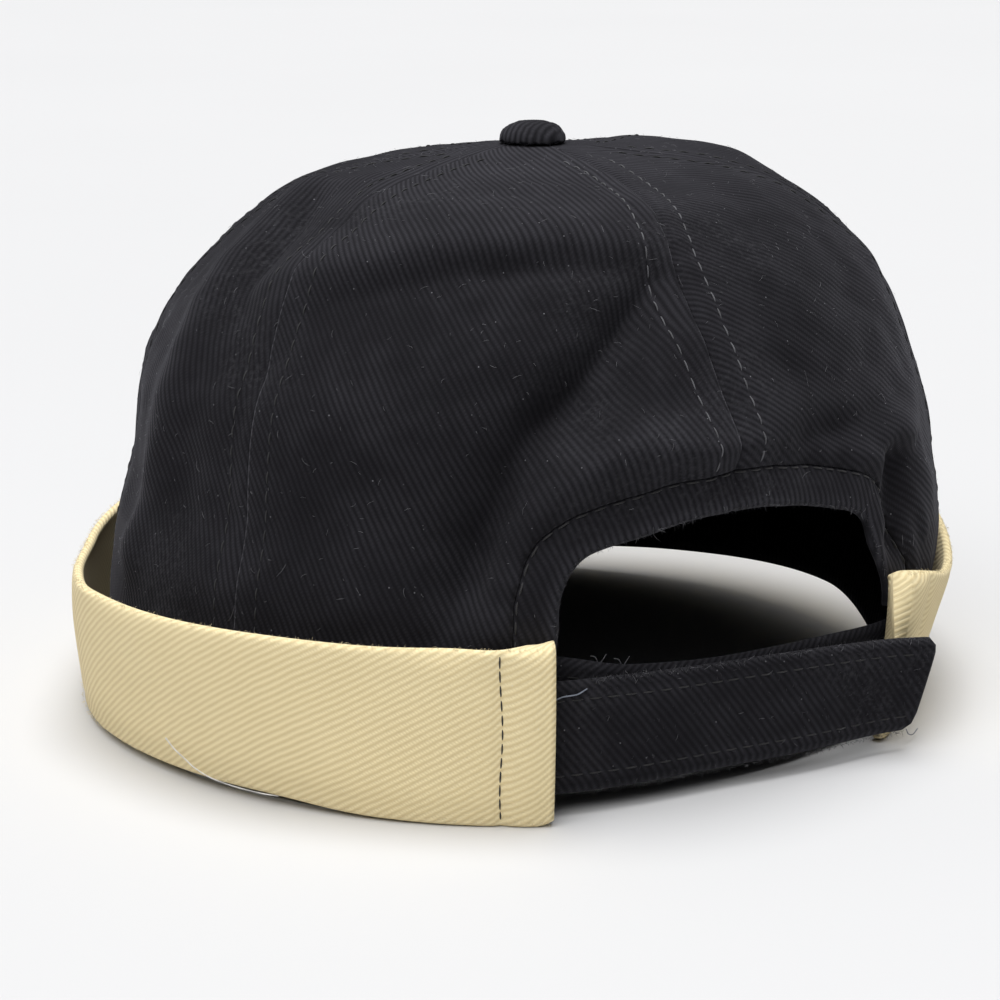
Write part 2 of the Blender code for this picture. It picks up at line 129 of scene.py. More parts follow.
# Folds of the cloth: three points each (azimuth and share of the crown's height), and the
# width and the rise outwards as shares of the crown's height.
FOLDS = (
    # az_1, h_1, az_2, h_2, az_3, h_3, width, rise
    (108, 0.927, 89, 0.732, 93, 0.322, 0.055, 0.018),
    (69, 0.81, 44, 0.868, 16, 0.878, 0.110, 0.020),
    (58, 0.771, 38, 0.8, 18, 0.819, 0.060, -0.006),
    (11, 0.8, 24, 0.644, 33, 0.371, 0.075, -0.026),
    (5, 0.576, 21, 0.546, 31, 0.312, 0.050, 0.020),
    (-6, 0.595, -30, 0.585, -43, 0.41, 0.060, 0.016),
    (-33, 0.478, -33, 0.419, -32, 0.341, 0.035, -0.024),
    (-110, 0.961, -101, 0.951, -92, 0.936, 0.085, 0.022),
    (-90, 0.605, -120, 0.537, -150, 0.605, 0.100, -0.018),
    (150, 0.683, 170, 0.761, 200, 0.702, 0.100, -0.014),
    # finer folds
    (40, 0.839, 30, 0.819, 12, 0.839, 0.030, 0.005),
    (52, 0.585, 50, 0.468, 46, 0.351, 0.060, 0.006),
    (14, 0.702, 22, 0.585, 27, 0.449, 0.022, -0.006),
    (-12, 0.683, -22, 0.644, -34, 0.654, 0.035, -0.006),
    (-28, 0.517, -33, 0.488, -42, 0.488, 0.020, -0.008),
    (-36, 0.449, -39, 0.39, -41, 0.332, 0.020, 0.008),
    (76, 0.683, 80, 0.507, 79, 0.351, 0.050, -0.006),
    (110, 0.78, 114, 0.605, 112, 0.429, 0.050, -0.006),
    (-60, 0.78, -64, 0.644, -62, 0.488, 0.060, 0.007),
    (160, 0.488, 166, 0.41, 172, 0.332, 0.060, 0.006),
    (-130, 0.449, -126, 0.39, -120, 0.322, 0.050, 0.006),
)

# Creases of the cloth: points of azimuth and share of the crown's height, and at each the
# depth and the reach of the flank on the left and on the right, seen from outside and
# walking along the crease, in millimetres. A negative depth is a raised ridge.
CREASES = (
    # azimuth, height, depth, left, right
    # slanting down beside the arch, from the pinch at the back seam
    (
        (7, 0.845, 2.0, 3, 2), (12, 0.815, 4.4, 7, 2.5), (18, 0.748, 5.6, 10, 3),
        (23, 0.686, 6.8, 11, 4), (28, 0.615, 7.2, 10, 7), (30, 0.539, 8.0, 8, 8),
        (33, 0.447, 7.6, 7, 8), (36, 0.326, 6.0, 6, 8), (39, 0.200, 3.5, 6, 8),
    ),
    # from the pinch to the left, under the roll high on the back
    (
        (9, 0.852, 1.0, 6, 2), (20, 0.862, 2.6, 10, 2.5), (31, 0.860, 3.6, 12, 2.5),
        (40, 0.850, 3.8, 12, 2.5), (49, 0.832, 3.2, 10, 2.5), (58, 0.802, 1.8, 7, 3),
        (65, 0.765, 0.6, 5, 3),
    ),
    # the roll above it
    (
        (82, 0.800, -0.5, 9, 3), (66, 0.828, -1.4, 10, 3), (46, 0.866, -2.2, 12, 3),
        (24, 0.884, -2.0, 12, 3), (6, 0.880, -0.7, 9, 3),
    ),
    # behind the left seam
    (
        (104, 0.940, 0.8, 4, 4), (93, 0.912, 2.8, 6, 5), (84, 0.845, 3.2, 6, 5),
        (79, 0.758, 1.4, 5, 5),
    ),
    # puffed ridge over the arch
    (
        (32, 0.300, -1.0, 4, 4), (29, 0.440, -3.2, 5, 4), (24, 0.545, -4.2, 6, 4),
        (15, 0.585, -3.6, 6, 4), (4, 0.585, -2.6, 6, 4), (-8, 0.585, -1.0, 5, 4),
    ),
    # two folds that run from the arch's right corner
    (
        (-2, 0.562, 0.5, 4, 4), (-10, 0.565, 2.2, 6, 3), (-20, 0.570, 2.8, 6, 4),
        (-32, 0.580, 2.4, 6, 4), (-46, 0.600, 0.6, 6, 5),
    ),
    (
        (-22, 0.500, -0.6, 4, 4), (-30, 0.512, -2.4, 4, 4), (-38, 0.530, -2.0, 5, 5),
        (-50, 0.560, -0.5, 5, 5),
    ),
    (
        (-30, 0.470, 0.3, 3, 3), (-36, 0.440, 0.8, 4, 4), (-39, 0.380, 0.7, 4, 4),
        (-40, 0.330, 0.3, 4, 4),
    ),
    # soft lines down the left side and the right side
    (
        (64, 0.745, 0.6, 4, 5), (70, 0.640, 1.4, 4, 6), (71, 0.520, 1.1, 4, 6),
        (70, 0.400, 0.4, 4, 5),
    ),
    (
        (-26, 0.800, 0.3, 6, 6), (-38, 0.750, 1.0, 8, 7), (-46, 0.660, 0.9, 9, 8),
        (-50, 0.560, 0.3, 8, 8),
    ),
    (
        (-96, 0.820, 0.5, 8, 8), (-104, 0.700, 2.0, 9, 9), (-101, 0.560, 1.8, 9, 9),
        (-96, 0.420, 0.5, 8, 8),
    ),
    (
        (150, 0.860, 0.5, 8, 8), (162, 0.760, 2.2, 9, 9), (182, 0.720, 2.6, 9, 9),
        (206, 0.760, 1.8, 8, 8), (220, 0.830, 0.4, 7, 7),
    ),
    (
        (206, 0.560, 0.4, 8, 8), (190, 0.500, 1.6, 9, 9), (172, 0.480, 1.8, 9, 9),
        (150, 0.520, 0.5, 8, 8),
    ),
    (
        (118, 0.720, 0.4, 6, 6), (114, 0.600, 1.8, 7, 7), (118, 0.460, 1.6, 7, 7),
        (124, 0.340, 0.4, 6, 6),
    ),
)

# The arch from its left foot to its right foot, as shares of its width and height
ARCH = (
    # across, up
    (0.505, 0.00), (0.500, 0.40), (0.480, 0.70), (0.450, 0.82), (0.395, 0.895), (0.290, 0.940),
    (0.150, 0.985), (0.000, 1.000), (-0.150, 0.975), (-0.300, 0.925), (-0.385, 0.885),
    (-0.420, 0.840), (-0.435, 0.760), (-0.475, 0.660), (-0.505, 0.550), (-0.520, 0.000),
)

# Where the straps run: inside the crown, free across the opening, or outside the cuff. The
# inset is a share of the cuff's height, the rise and the width shares of the strap's width.
OUTER_STRAP = (
    # azimuth, lies, inset, rise, width
    (37, "inside", 0.00, 0, 1.00),
    (31, "inside", 0.00, 0, 1.00),
    (25, "inside", 0.00, 0, 1.00),
    (10, "free", 0.19, 0, 0.98),
    (0, "free", 0.20, 0, 0.97),
    (-13, "free", 0.09, 0, 0.95),
    (-25, "free", -0.12, 0, 0.92),
    (-30, "outside", -0.15, 0, 0.90),
)
INNER_STRAP = (
    # azimuth, lies, inset, rise, width
    (-40, "inside", 0.00, 0, 0.90),
    (-34, "inside", 0.00, 0, 0.90),
    (-24, "free", 0.16, 0, 0.92),
    (-12, "free", 0.26, 0, 0.94),
    (0, "free", 0.31, 0, 0.96),
    (12, "free", 0.27, 0.04, 0.98),
    (24, "free", 0.19, 0.18, 1.00),
    (34, "free", 0.19, 0.22, 1.00),
)

STRAPS = {"strap_outer": OUTER_STRAP, "strap_inner": INNER_STRAP}
STRAP_STATIONS = 150
STRAP_LEVELS = 13

# The hem's section: spread from the arch's edge and depth below the crown's face, as shares
# of the hem's width and of the crown's cloth.
HEM_SECTION = (
    # spread, depth
    (1.01, 0.95), (1.00, 0.35), (0.97, 0.05), (0.85, 0.00), (0.65, 0.00), (0.45, 0.00),
    (0.28, 0.00), (0.15, 0.08), (0.06, 0.32), (0.00, 0.85), (0.02, 1.35), (0.10, 1.75),
    (0.30, 1.95), (0.70, 1.98), (1.10, 1.98), (1.18, 1.75), (1.10, 1.45), (1.03, 1.30),
)

# The points of the section that lie on its rolled edge, where the nap is rubbed
ROLLED_EDGE = slice(6, 10)

# The height at which the hem ends, behind the straps
HEM_FOOT = 0.0288

# Flat width and length of the folded strips, and the direction of their ribs in degrees
HEM_FLAT, HEM_GRAIN = (0.0100, 0.165), 108
CUFF_FLAT, CUFF_GRAIN = (0.036, 0.500), 32
STRAP_FLAT, STRAP_GRAIN = (0.022, 0.112), 130
BUTTON_GRAIN = 30

# Thickness of a stitch and of a loose fibre from end to end, as shares of its radius
STITCH_TAPER = (0.35, 0.8, 1.0, 1.05, 1.0, 0.8, 0.35)
FIBRE_TAPER = (0.6, 1.0, 1.0, 1.0, 0.8, 0.4)

# Stray threads, as points of azimuth and height
CUFF_THREAD = (
    (74.6, 0.0086), (73.4, 0.0069), (71.7, 0.0054), (69.8, 0.0038),
    (67.0, 0.0027), (63.4, 0.0023), (59.8, 0.0022), (57.1, 0.0024),
)
STRAP_THREAD = ((23.6, 0.0236), (22.2, 0.0243), (20.7, 0.0244), (19.2, 0.0253))
STRAP_END_THREAD = ((-30.6, 0.0034), (-31.6, 0.0018), (-32.8, 0.0012), (-34.2, 0.0018))
TUFT_AZIMUTHS = (17.1, 16.6, 13.4, 12.9)

BLACK_CLOTH = "brushed_black_twill"
CREAM_CLOTH = "cream_cuff_twill"
BODY = "root"

# Relief of the twill's ribs
RIB_DEPTH = 0.00011

# The table of the crown's wall: one row a degree, one column a step of height
WALL_STEP = 0.001
WALL_COLUMNS = 66

# Steps that are enough to find a point of the crown from its place in a view from behind
PLACE_STEPS = 14

# Thickness of the crown's solid panels, which the straps stay clear of
SOLID_WALL = 0.0015

# How softly a crease is rounded at its bottom
CREASE_ROUNDING = 0.0012

MILLIMETRES = 1000

# The camera's place from the cap's middle and the direction in which it looks
CAMERA_PLACE = (0.2929, 0.5073, 0.1899)
CAMERA_SIGHT = (-0.4843, -0.8388, -0.2487)
FLOOR_HALF = 6.0


def length_setting(name, description, default):
    return FloatProperty(name=name, description=description, default=default, unit="LENGTH")


def colour_setting(name, description, default):
    return FloatVectorProperty(name=name, description=description, default=default, subtype="COLOR")


def count_setting(name, description, default, least=0):
    return IntProperty(name=name, description=description, default=default, min=least)


def number_setting(name, description, default):
    return FloatProperty(name=name, description=description, default=default, min=0)


class CapSizes(PropertyGroup):
    """Sizes of the cap's pieces."""

    cap_length: length_setting("Cap length", "The crown at its rim, front to back", 0.185)
    cap_width: length_setting("Cap width", "The crown at its rim, side to side", 0.175)
    crown_height: length_setting("Crown height", "From the floor to the top of the crown", 0.1184)
    crown_cloth: length_setting("Crown cloth", "Thickness of a crown panel", 0.0014)
    apex_lean: length_setting("Apex lean", "How far the top leans to the wearer's right", 0.008)
    clearance: length_setting("Clearance", "Gap between pieces that lie on each other", 0.0003)
    seam_gap: length_setting("Seam gap", "Between the edges of two panels", 0.0)
    seam_margin: length_setting("Seam margin", "From a seam to its row of stitches", 0.0055)
    cuff_height: length_setting("Cuff height", "Height of the cuff", 0.036)
    cuff_cloth: length_setting("Cuff cloth", "Thickness of the cuff's folded strip", 0.0024)
    cuff_left_end: FloatProperty(
        name="Cuff left end", description="Azimuth of the cuff's left end", default=23.8, min=0, max=90
    )
    cuff_right_end: FloatProperty(
        name="Cuff right end", description="Azimuth of its right end", default=330.5, min=270, max=360
    )
    cuff_hem: length_setting("Cuff hem", "From an end of the cuff to its row of stitches", 0.0098)
    arch_width: length_setting("Arch width", "Of the back opening", 0.083)
    arch_height: length_setting("Arch height", "From the floor to the top of the arch", 0.0573)
    arch_shift: length_setting("Arch shift", "Of the arch's middle, to the wearer's right", 0.0047)
    hem_width: length_setting("Hem width", "From the arch's edge to its stitches", 0.0078)
    strap_width: length_setting("Strap width", "Width of a strap", 0.0225)
    strap_cloth: length_setting("Strap cloth", "Thickness of a folded strap", 0.0020)
    strap_foot: length_setting("Strap foot", "Height of the straps' lower edges", 0.0045)
    strap_slant: length_setting("Strap slant", "How askew the outer strap's end is cut", 0.0012)
    button_radius: length_setting("Button radius", "Of the top button", 0.0071)


class CapStitching(PropertyGroup):
    """Stitches, threads and lint."""

    stitch_pitch: length_setting("Stitch pitch", "From one stitch to the next", 0.0038)
    stitch_length: length_setting("Stitch length", "Length of thread that shows", 0.0027)
    thread_radius: length_setting("Thread radius", "Radius of the sewing thread", 0.00016)
    lint_count: count_setting("Lint count", "Loose fibres on the crown", 1500)
    fuzz_count: count_setting("Fuzz count", "Short hairs along the cloth's edges", 2600)


class CapColours(PropertyGroup):
    """Colours of cloth and thread."""

    black: colour_setting("Black", "Colour of the black twill", (0.0150, 0.0145, 0.0172))
    # Paler black for rubbed nap and for the painted highlight on the crown's top and the button; the fuzz
    # takes it too
    black_worn_and_highlight: colour_setting("Rubbed black", "Nap that has been rubbed", (0.050, 0.049, 0.057))
    cream: colour_setting("Cream", "Colour of the cream twill", (0.92, 0.795, 0.50))
    # Painted shade in the hollows between the cream ribs
    cream_rib_shade: colour_setting("Deep cream", "Cream between the ribs", (0.68, 0.54, 0.29))
    grey_thread: colour_setting("Grey thread", "Stitches beside the back seam", (0.09, 0.09, 0.10))
    black_thread: colour_setting("Black thread", "Stitches on cuff and straps", (0.013, 0.012, 0.013))
    lint: colour_setting("Lint", "Loose fibres", (0.26, 0.26, 0.28))


def sizes():
    return bpy.context.scene.cap_sizes


def stitching():
    return bpy.context.scene.cap_stitching


def colours():
    return bpy.context.scene.cap_colours


def monotone_curve(x, xs, ys):
    """Values at x of the smooth curve through (xs, ys), which never overshoots its points."""
    x = np.clip(np.asarray(x, float), xs[0], xs[-1])
    step = np.diff(xs)
    slope = np.diff(ys) / step
    before, after = slope[:-1], slope[1:]
    same = before * after > 0
    safe = np.where(same, before + after, 1.0)
    inner = np.where(same, 2.0 * before * after / safe, 0.0)
    tangent = np.concatenate(([slope[0]], inner, [slope[-1]]))
    index = np.clip(np.searchsorted(xs, x, side="right") - 1, 0, len(xs) - 2)
    t = (x - xs[index]) / step[index]
    rise = ys[index + 1] - ys[index]
    start = tangent[index] * step[index]
    end = tangent[index + 1] * step[index]
    return ys[index] + start * t + (3 * rise - 2 * start - end) * t**2 + (start + end - 2 * rise) * t**3


def column(table, number):
    """One column of a table as an array."""
    return np.array([row[number] for row in table], float)


def unit(vectors):
    return vectors / np.maximum(np.linalg.norm(vectors, axis=-1, keepdims=True), 1e-12)


def outward(points):
    """The level unit vectors from the axis to points."""
    return unit(points * np.array((1, 1, 0)))


def lengths_along(path):
    """How far along a path each of its points lies."""
    return np.concatenate(([0], np.cumsum(np.linalg.norm(np.diff(path, axis=0), axis=1))))


def read_path(places, length, values):
    """The values at places along a path, from the values at its points."""
    return np.stack([np.interp(places, length, each) for each in values.T], axis=-1)


def smooth_path(places, length, values):
    """The same along a smooth curve through the points."""
    return np.stack([monotone_curve(places, length, each) for each in values.T], axis=-1)


def bell(distance, width):
    """1 at no distance, falling to nothing a few widths away."""
    return np.exp(-(distance / width) ** 2)


def unevenness(points, scale, seed):
    """Gentle bumps of about plus or minus 1 over points, with the scale as their length."""
    chance = np.random.default_rng(seed)
    total = np.zeros(points.shape[:-1])
    for _ in range(9):
        direction = unit(chance.normal(size=3))
        place = points @ direction * 2 * math.pi / (scale * chance.uniform(0.6, 1.5))
        total += np.sin(place + chance.uniform(0, 2 * math.pi))
    return total / 3


def distance_to_path(points, path):
    """Least distance from points to a path of straight pieces, and how far along it that is."""
    least = np.full(points.shape[:-1], np.inf)
    along = np.zeros(points.shape[:-1])
    passed = 0.0
    for start, end in zip(path[:-1], path[1:]):
        piece = end - start
        length = float(np.linalg.norm(piece))
        share = np.clip(((points - start) @ piece) / length**2, 0, 1)
        distance = np.linalg.norm(points - start - share[..., None] * piece, axis=-1)
        closer = distance < least
        along = np.where(closer, passed + share * length, along)
        least = np.where(closer, distance, least)
        passed += length
    return least, along


def signed_distance(points, path, axis_z):
    """Distance from points to a path on the crown, positive on its left, and how far along."""
    least, along = distance_to_path(points, path)
    length = lengths_along(path)
    nearest = read_path(along, length, path)
    ahead = read_path(along, length, np.gradient(path, axis=0))
    away = nearest - np.array((0, 0, axis_z))
    side = (np.cross(away, ahead) * (points - nearest)).sum(axis=-1)
    return np.sign(side) * least, along, length


class CrownForm:
    """The crown's surface, worked out from the sizes and the tables above."""

    def __init__(self):
        self.size = sizes()
        self.top = self.size.crown_height
        middle = (BUTTON_LOW + BUTTON_HIGH) / 2
        self.origin = np.array((middle[0] + self.size.apex_lean, middle[1], 0.0))
        self.fold_paths = [self.fold_path(row) for row in FOLDS]
        self.crease_paths = [self.crease_path(rows) for rows in CREASES]
        self.arch = self.arch_outline(0.0)
        self.walls = self.measure_walls()

    def rim_value(self, azimuth, number):
        """A column of RIM, read smoothly round the whole rim."""
        angles = column(RIM, 0)
        values = column(RIM, number)
        angles = np.concatenate((angles[-2:] - 360, angles, angles[:3] + 360))
        values = np.concatenate((values[-2:], values, values[:3]))
        return monotone_curve(np.mod(azimuth, 360), angles, values)

    def lift(self, azimuth):
        return self.size.cuff_height * self.rim_value(azimuth, 2)

    def height_share(self, run):
        return monotone_curve(run, np.linspace(0, 1, len(SECTIONS)), column(SECTIONS, 0))

    def run_at(self, share):
        runs = np.linspace(0, 1, 401)
        return np.interp(share, self.height_share(runs), runs)

    def lean(self, run):
        """How far the crown's middle stands to the wearer's right."""
        return self.size.apex_lean * self.height_share(run) ** 2

    def radius(self, points, run):
        """Distance of points from the crown's leaning middle."""
        return np.hypot(points[..., 0] + self.lean(run), points[..., 1])

    def walk(self, degrees):
        """Length of a turn round the rim."""
        return self.size.cap_length / 2 * np.radians(degrees)

    def base(self, azimuth, run):
        """The crown's outer surface without its folds."""
        azimuth, run = np.broadcast_arrays(np.asarray(azimuth, float), np.asarray(run, float))
        angle = np.radians(azimuth)
        sine, cosine = np.sin(angle), np.cos(angle)
        oval = 1 / np.hypot(sine / (self.size.cap_width / 2), cosine / (self.size.cap_length / 2))
        rows = np.linspace(0, 1, len(SECTIONS))
        back, left, front, right = (monotone_curve(run, rows, column(SECTIONS, k)) for k in (1, 2, 3, 4))
        lengthwise = np.where(cosine > 0, back, front) * cosine**2
        sideways = np.where(sine > 0, left, right) * sine**2
        radius = oval * self.rim_value(azimuth, 1) * (lengthwise + sideways)
        height = self.height_share(run)
        foot = self.lift(azimuth) + self.size.cuff_cloth + self.size.clearance
        z = foot + (self.top - foot) * height
        return np.stack((radius * sine - self.size.apex_lean * height**2, radius * cosine, z), axis=-1)

    def base_normal(self, azimuth, run):
        """Outward unit normals of the surface without folds."""
        turn, climb = 0.5, 0.004
        above, below = np.clip(run + climb, 0, 1), np.clip(run - climb, 0, 1)
        across = self.base(azimuth + turn, run) - self.base(azimuth - turn, run)
        along = self.base(azimuth, above) - self.base(azimuth, below)
        return unit(np.cross(along, across))

    def fold_path(self, row):
        az_1, h_1, az_2, h_2, az_3, h_3 = row[:6]
        t = np.linspace(0, 1, 9)
        weights = ((1 - t) * (1 - 2 * t), 4 * t * (1 - t), t * (2 * t - 1))
        azimuths = sum(w * az for w, az in zip(weights, (az_1, az_2, az_3)))
        heights = sum(w * h for w, h in zip(weights, (h_1, h_2, h_3)))
        return self.base(azimuths, self.run_at(heights))

    def fold_rise(self, points):
        """How far the folds push the surface outwards at each point."""
        rise = np.zeros(points.shape[:-1])
        for row, path in zip(FOLDS, self.fold_paths):
            distance, _ = distance_to_path(points, path)
            rise += row[7] * self.top * bell(distance, row[6] * self.top)
        return rise

    def crease_path(self, rows):
        """A crease's points on the crown with its depth and the reach of its two flanks."""
        places = np.linspace(0, len(rows) - 1, 5 * len(rows))
        azimuth, height, *shape = smooth_path(places, np.arange(len(rows)), np.array(rows, float)).T
        return self.base(azimuth, self.run_at(height)), np.array(shape) / MILLIMETRES

    def crease_rise(self, points):
        """How far the creases push the surface in and the ridges push it out."""
        rise = np.zeros(points.shape[:-1])
        for path, (depth, left, right) in self.crease_paths:
            side, along, length = signed_distance(points, path, self.top * 0.4)
            reach = np.where(side > 0, np.interp(along, length, left), np.interp(along, length, right))
            steep = np.hypot(side, CREASE_ROUNDING) - CREASE_ROUNDING
            deep = np.interp(along, length, depth)
            crease = np.exp(-steep / reach)
            ridge = bell(side, reach * 1.2)
            rise -= deep * np.where(deep > 0, crease, ridge)
        return rise

    def seam_azimuth(self, seam, run):
        """Azimuth of a seam. Seam 6 is the first one, a full turn on."""
        turn, number = divmod(seam, len(SEAMS))
        return monotone_curve(run, np.linspace(0, 1, 4), np.array(SEAMS[number][:4], float)) + 360 * turn

    def seam_distance(self, azimuth, run, points):
        """Distance from points to the nearest seam, measured round the crown, and its strength."""
        radius = self.radius(points, run)
        least = np.full(azimuth.shape, np.inf)
        strength = np.zeros(azimuth.shape)
        for seam, row in enumerate(SEAMS):
            turn = np.mod(azimuth - self.seam_azimuth(seam, run) + 180, 360) - 180
            distance = np.abs(np.radians(turn)) * radius
            strength = np.where(distance < least, row[4], strength)
            least = np.minimum(least, distance)
        return least, strength

    def seam_rise(self, azimuth, run, points):
        """The valley of a seam, the bulk beside it and the pinch under its stitches."""
        distance, strength = self.seam_distance(azimuth, run, points)
        margin, pitch = self.size.seam_margin, stitching().stitch_pitch
        along = np.cos(run * 0.15 / pitch * 2 * math.pi)
        rise = -0.0008 * bell(distance, 0.0010)
        rise += 0.00022 * bell(distance - 0.55 * margin, 0.4 * margin)
        rise -= (0.00026 + 0.00010 * along) * bell(distance - margin, 0.0009)
        return rise * strength

    def arch_outline(self, spread):
        """The arch's outline as (x, z) points, moved outwards by a spread."""
        across = column(ARCH, 0) * self.size.arch_width - self.size.arch_shift
        up = column(ARCH, 1) * self.size.arch_height
        along = unit(np.stack((np.gradient(across), np.gradient(up)), axis=-1))
        return np.stack((across + spread * along[:, 1], up - spread * along[:, 0]), axis=-1)

    def smooth_arch(self, spread, count):
        """Evenly spaced (x, z) points of the arch above its foot, with its corners rounded."""
        outline = self.arch_outline(spread)
        length = lengths_along(outline)
        line = smooth_path(np.linspace(0, length[-1], 600), length, outline)
        line = line[line[:, 1] > HEM_FOOT]
        length = lengths_along(line)
        return read_path(np.linspace(0, length[-1], count), length, line)

    def arch_spread(self, points):
        """Signed distance from the arch's edge, outwards, and how far along the edge."""
        flat = points[..., (0, 2)]
        across, up = flat[..., 0], flat[..., 1]
        distance, along = distance_to_path(flat, self.arch)
        height = np.interp(across, self.arch[::-1, 0], self.arch[::-1, 1])
        inside = (up < height) & (across > self.arch[-1, 0]) & (across < self.arch[0, 0])
        return np.where(inside, -distance, distance), along

    def hem_rise(self, points):
        """The pinch and the puckers along the stitches round the arch."""
        spread, along = self.arch_spread(points)
        width = self.size.hem_width
        pucker = np.sin(along / 0.0105 * 2 * math.pi + 1.3 * np.sin(along / 0.017))
        rise = -0.00042 * bell(spread - width, 0.0014)
        rise += 0.00080 * bell(spread - 1.5 * width, 0.30 * width)
        rise += 0.00030 * pucker * bell(spread - width, 0.0045)
        rise += 0.00040 * bell(spread - 0.5 * width, 0.4 * width)
        return np.where(points[..., 1] > 0, rise, 0.0)

    def rise(self, azimuth, run, points):
        """How far folds, creases, seams and hem push the surface outwards. Each of them fades
        where the cuff hides the cloth and at the button."""
        below_top = np.clip((0.97 - run) / 0.10, 0, 1)
        below_button = np.clip((0.985 - run) / 0.03, 0, 1)
        above_cuff = np.clip((run - 0.10) / 0.15, 0, 1)
        rise = self.fold_rise(points) * below_top * np.clip(run / 0.15, 0, 1)
        rise += self.crease_rise(points) * below_top * np.clip((run - 0.12) / 0.14, 0, 1)
        rise += self.seam_rise(azimuth, run, points) * below_button * above_cuff
        rise += self.hem_rise(points) * above_cuff
        bumps = 0.00035 * unevenness(points, 0.034, 5) + 0.00012 * unevenness(points, 0.011, 8)
        return rise + bumps * below_top * above_cuff

    def surface(self, azimuth, run, depth=0.0):
        """The crown's outer face with its folds and seams, or a face some depth inside it."""
        azimuth, run = np.broadcast_arrays(np.asarray(azimuth, float), np.asarray(run, float))
        points = self.base(azimuth, run)
        rise = self.rise(azimuth, run, points)
        return points + self.base_normal(azimuth, run) * (rise - depth)[..., None]

    def measure_walls(self):
        """The distance of the crown's outer face from the axis, by degree and by height."""
        azimuth, run = np.meshgrid(np.arange(361.0), np.linspace(0, 0.7, 71), indexing="ij")
        points = self.base(azimuth, run)
        rise = self.fold_rise(points) * np.clip(run / 0.15, 0, 1)
        points = points + self.base_normal(azimuth, run) * rise[..., None]
        radius = np.hypot(points[..., 0], points[..., 1])
        heights = np.arange(WALL_COLUMNS) * WALL_STEP
        return np.array([np.interp(heights, *row) for row in zip(points[..., 2], radius)])

    def wall_radius(self, azimuth, z):
        """Distance of the crown's outer face from the axis at a height."""
        azimuth, z = np.broadcast_arrays(np.mod(azimuth, 360), np.asarray(z, float))
        row = azimuth.astype(int)
        place = np.clip(z / WALL_STEP, 0, WALL_COLUMNS - 1.001)
        level = place.astype(int)
        turn, climb = azimuth - row, place - level
        low = self.walls[row, level] * (1 - climb) + self.walls[row, level + 1] * climb
        high = self.walls[row + 1, level] * (1 - climb) + self.walls[row + 1, level + 1] * climb
        return low * (1 - turn) + high * turn

    def place(self, x, z):
        """Azimuth and run of the points at (x, z) on the back of the crown, found step by step."""
        azimuth = np.degrees(np.arcsin(np.clip(x / (self.size.cap_length / 2), -0.9, 0.9)))
        run = self.run_at(z / self.top)
        for _ in range(PLACE_STEPS):
            points = self.surface(azimuth, run)
            azimuth = azimuth + np.degrees((x - points[..., 0]) / np.maximum(points[..., 1], 0.02))
            run = np.clip(run + (z - points[..., 2]) / (self.top * 1.4), 0, 1)
        return azimuth, run

    def from_cuff_end(self, azimuth):
        """Distance round the rim to the nearer end of the cuff."""
        left, right = self.size.cuff_left_end, self.size.cuff_right_end
        return self.walk(np.minimum(azimuth - left, right - azimuth))

    def cuff_top(self, azimuth):
        return float(self.lift(azimuth)) + self.size.cuff_height * float(self.rim_value(azimuth, 3))

    def cuff_stand_off(self, azimuth, z):
        """Gap between the crown and the cuff's inner face."""
        share = np.clip((z - self.lift(azimuth)) / self.size.cuff_height, 0, 1)
        foot_off, top_off = self.rim_value(azimuth, 4), self.rim_value(azimuth, 5)
        return self.size.cuff_height * (foot_off + (top_off - foot_off) * share)

    def cuff_outer_radius(self, azimuth, z):
        clear = self.wall_radius(azimuth, z) + self.size.clearance
        return clear + self.cuff_stand_off(azimuth, z) + self.size.cuff_cloth

    def strap_radius(self, azimuth, lies, inset, z):
        """Distance of a strap's middle from the axis."""
        half = self.size.strap_cloth / 2
        if lies == "inside":
            base = self.wall_radius(azimuth, z) - SOLID_WALL - self.size.clearance - half
        elif lies == "outside":
            base = self.cuff_outer_radius(azimuth, z) + self.size.clearance + half
        else:
            base = self.wall_radius(azimuth, z)
        return float(base - inset * self.size.cuff_height)


def on_azimuth(azimuth, radius, z):
    angle = math.radians(azimuth)
    return (radius * math.sin(angle), radius * math.cos(angle), z)


def mesh_piece(form, name, points, faces, material, uv=None, rub_and_highlight=None):
    """Makes a smooth piece that rides on the cap. uv gives each point's place on the flat
    cloth in metres, and rub_and_highlight how pale the nap is there: rubbed nap, and on the
    crown's top and the button a painted highlight."""
    mesh = bpy.data.meshes.new(name)
    placed = np.asarray(points, float).reshape(-1, 3) + form.origin
    mesh.from_pydata(placed.tolist(), [], faces)
    mesh.shade_smooth()
    mesh.materials.append(finish(material))
    if uv is not None:
        layer = mesh.uv_layers.new(name="cloth")
        corners = np.zeros(len(mesh.loops), dtype=np.int32)
        mesh.loops.foreach_get("vertex_index", corners)
        layer.data.foreach_set("uv", np.asarray(uv, float).reshape(-1, 2)[corners].ravel())
    if rub_and_highlight is not None:
        attribute = mesh.attributes.new("rub_and_highlight", "FLOAT", "POINT")
        attribute.data.foreach_set("value", np.asarray(rub_and_highlight, float).ravel())
    piece = bpy.data.objects.new(name, mesh)
    bpy.context.scene.collection.objects.link(piece)
    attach(piece, BODY)
    return piece


def grid_faces(rows, columns, closed=False):
    """Quads over a grid of points. closed joins the last column to the first."""
    faces = []
    last = columns if closed else columns - 1
    for row in range(rows - 1):
        for place in range(last):
            a = row * columns + place
            b = row * columns + (place + 1) % columns
            faces.append((a, a + columns, b + columns, b))
    return faces


def loft_faces(stations, count):
    """Quads round closed loops of points, with a cap at each end."""
    faces = [(a, d, c, b) for a, b, c, d in grid_faces(stations, count, closed=True)]
    last = (stations - 1) * count
    faces.append(tuple(range(count - 1, -1, -1)))
    faces.append(tuple(range(last, last + count)))
    return faces


def add_wall(piece, thickness):
    """Thickens a sheet inwards."""
    solidify = piece.modifiers.new("cloth", "SOLIDIFY")
    solidify.thickness = thickness
    solidify.offset = -1


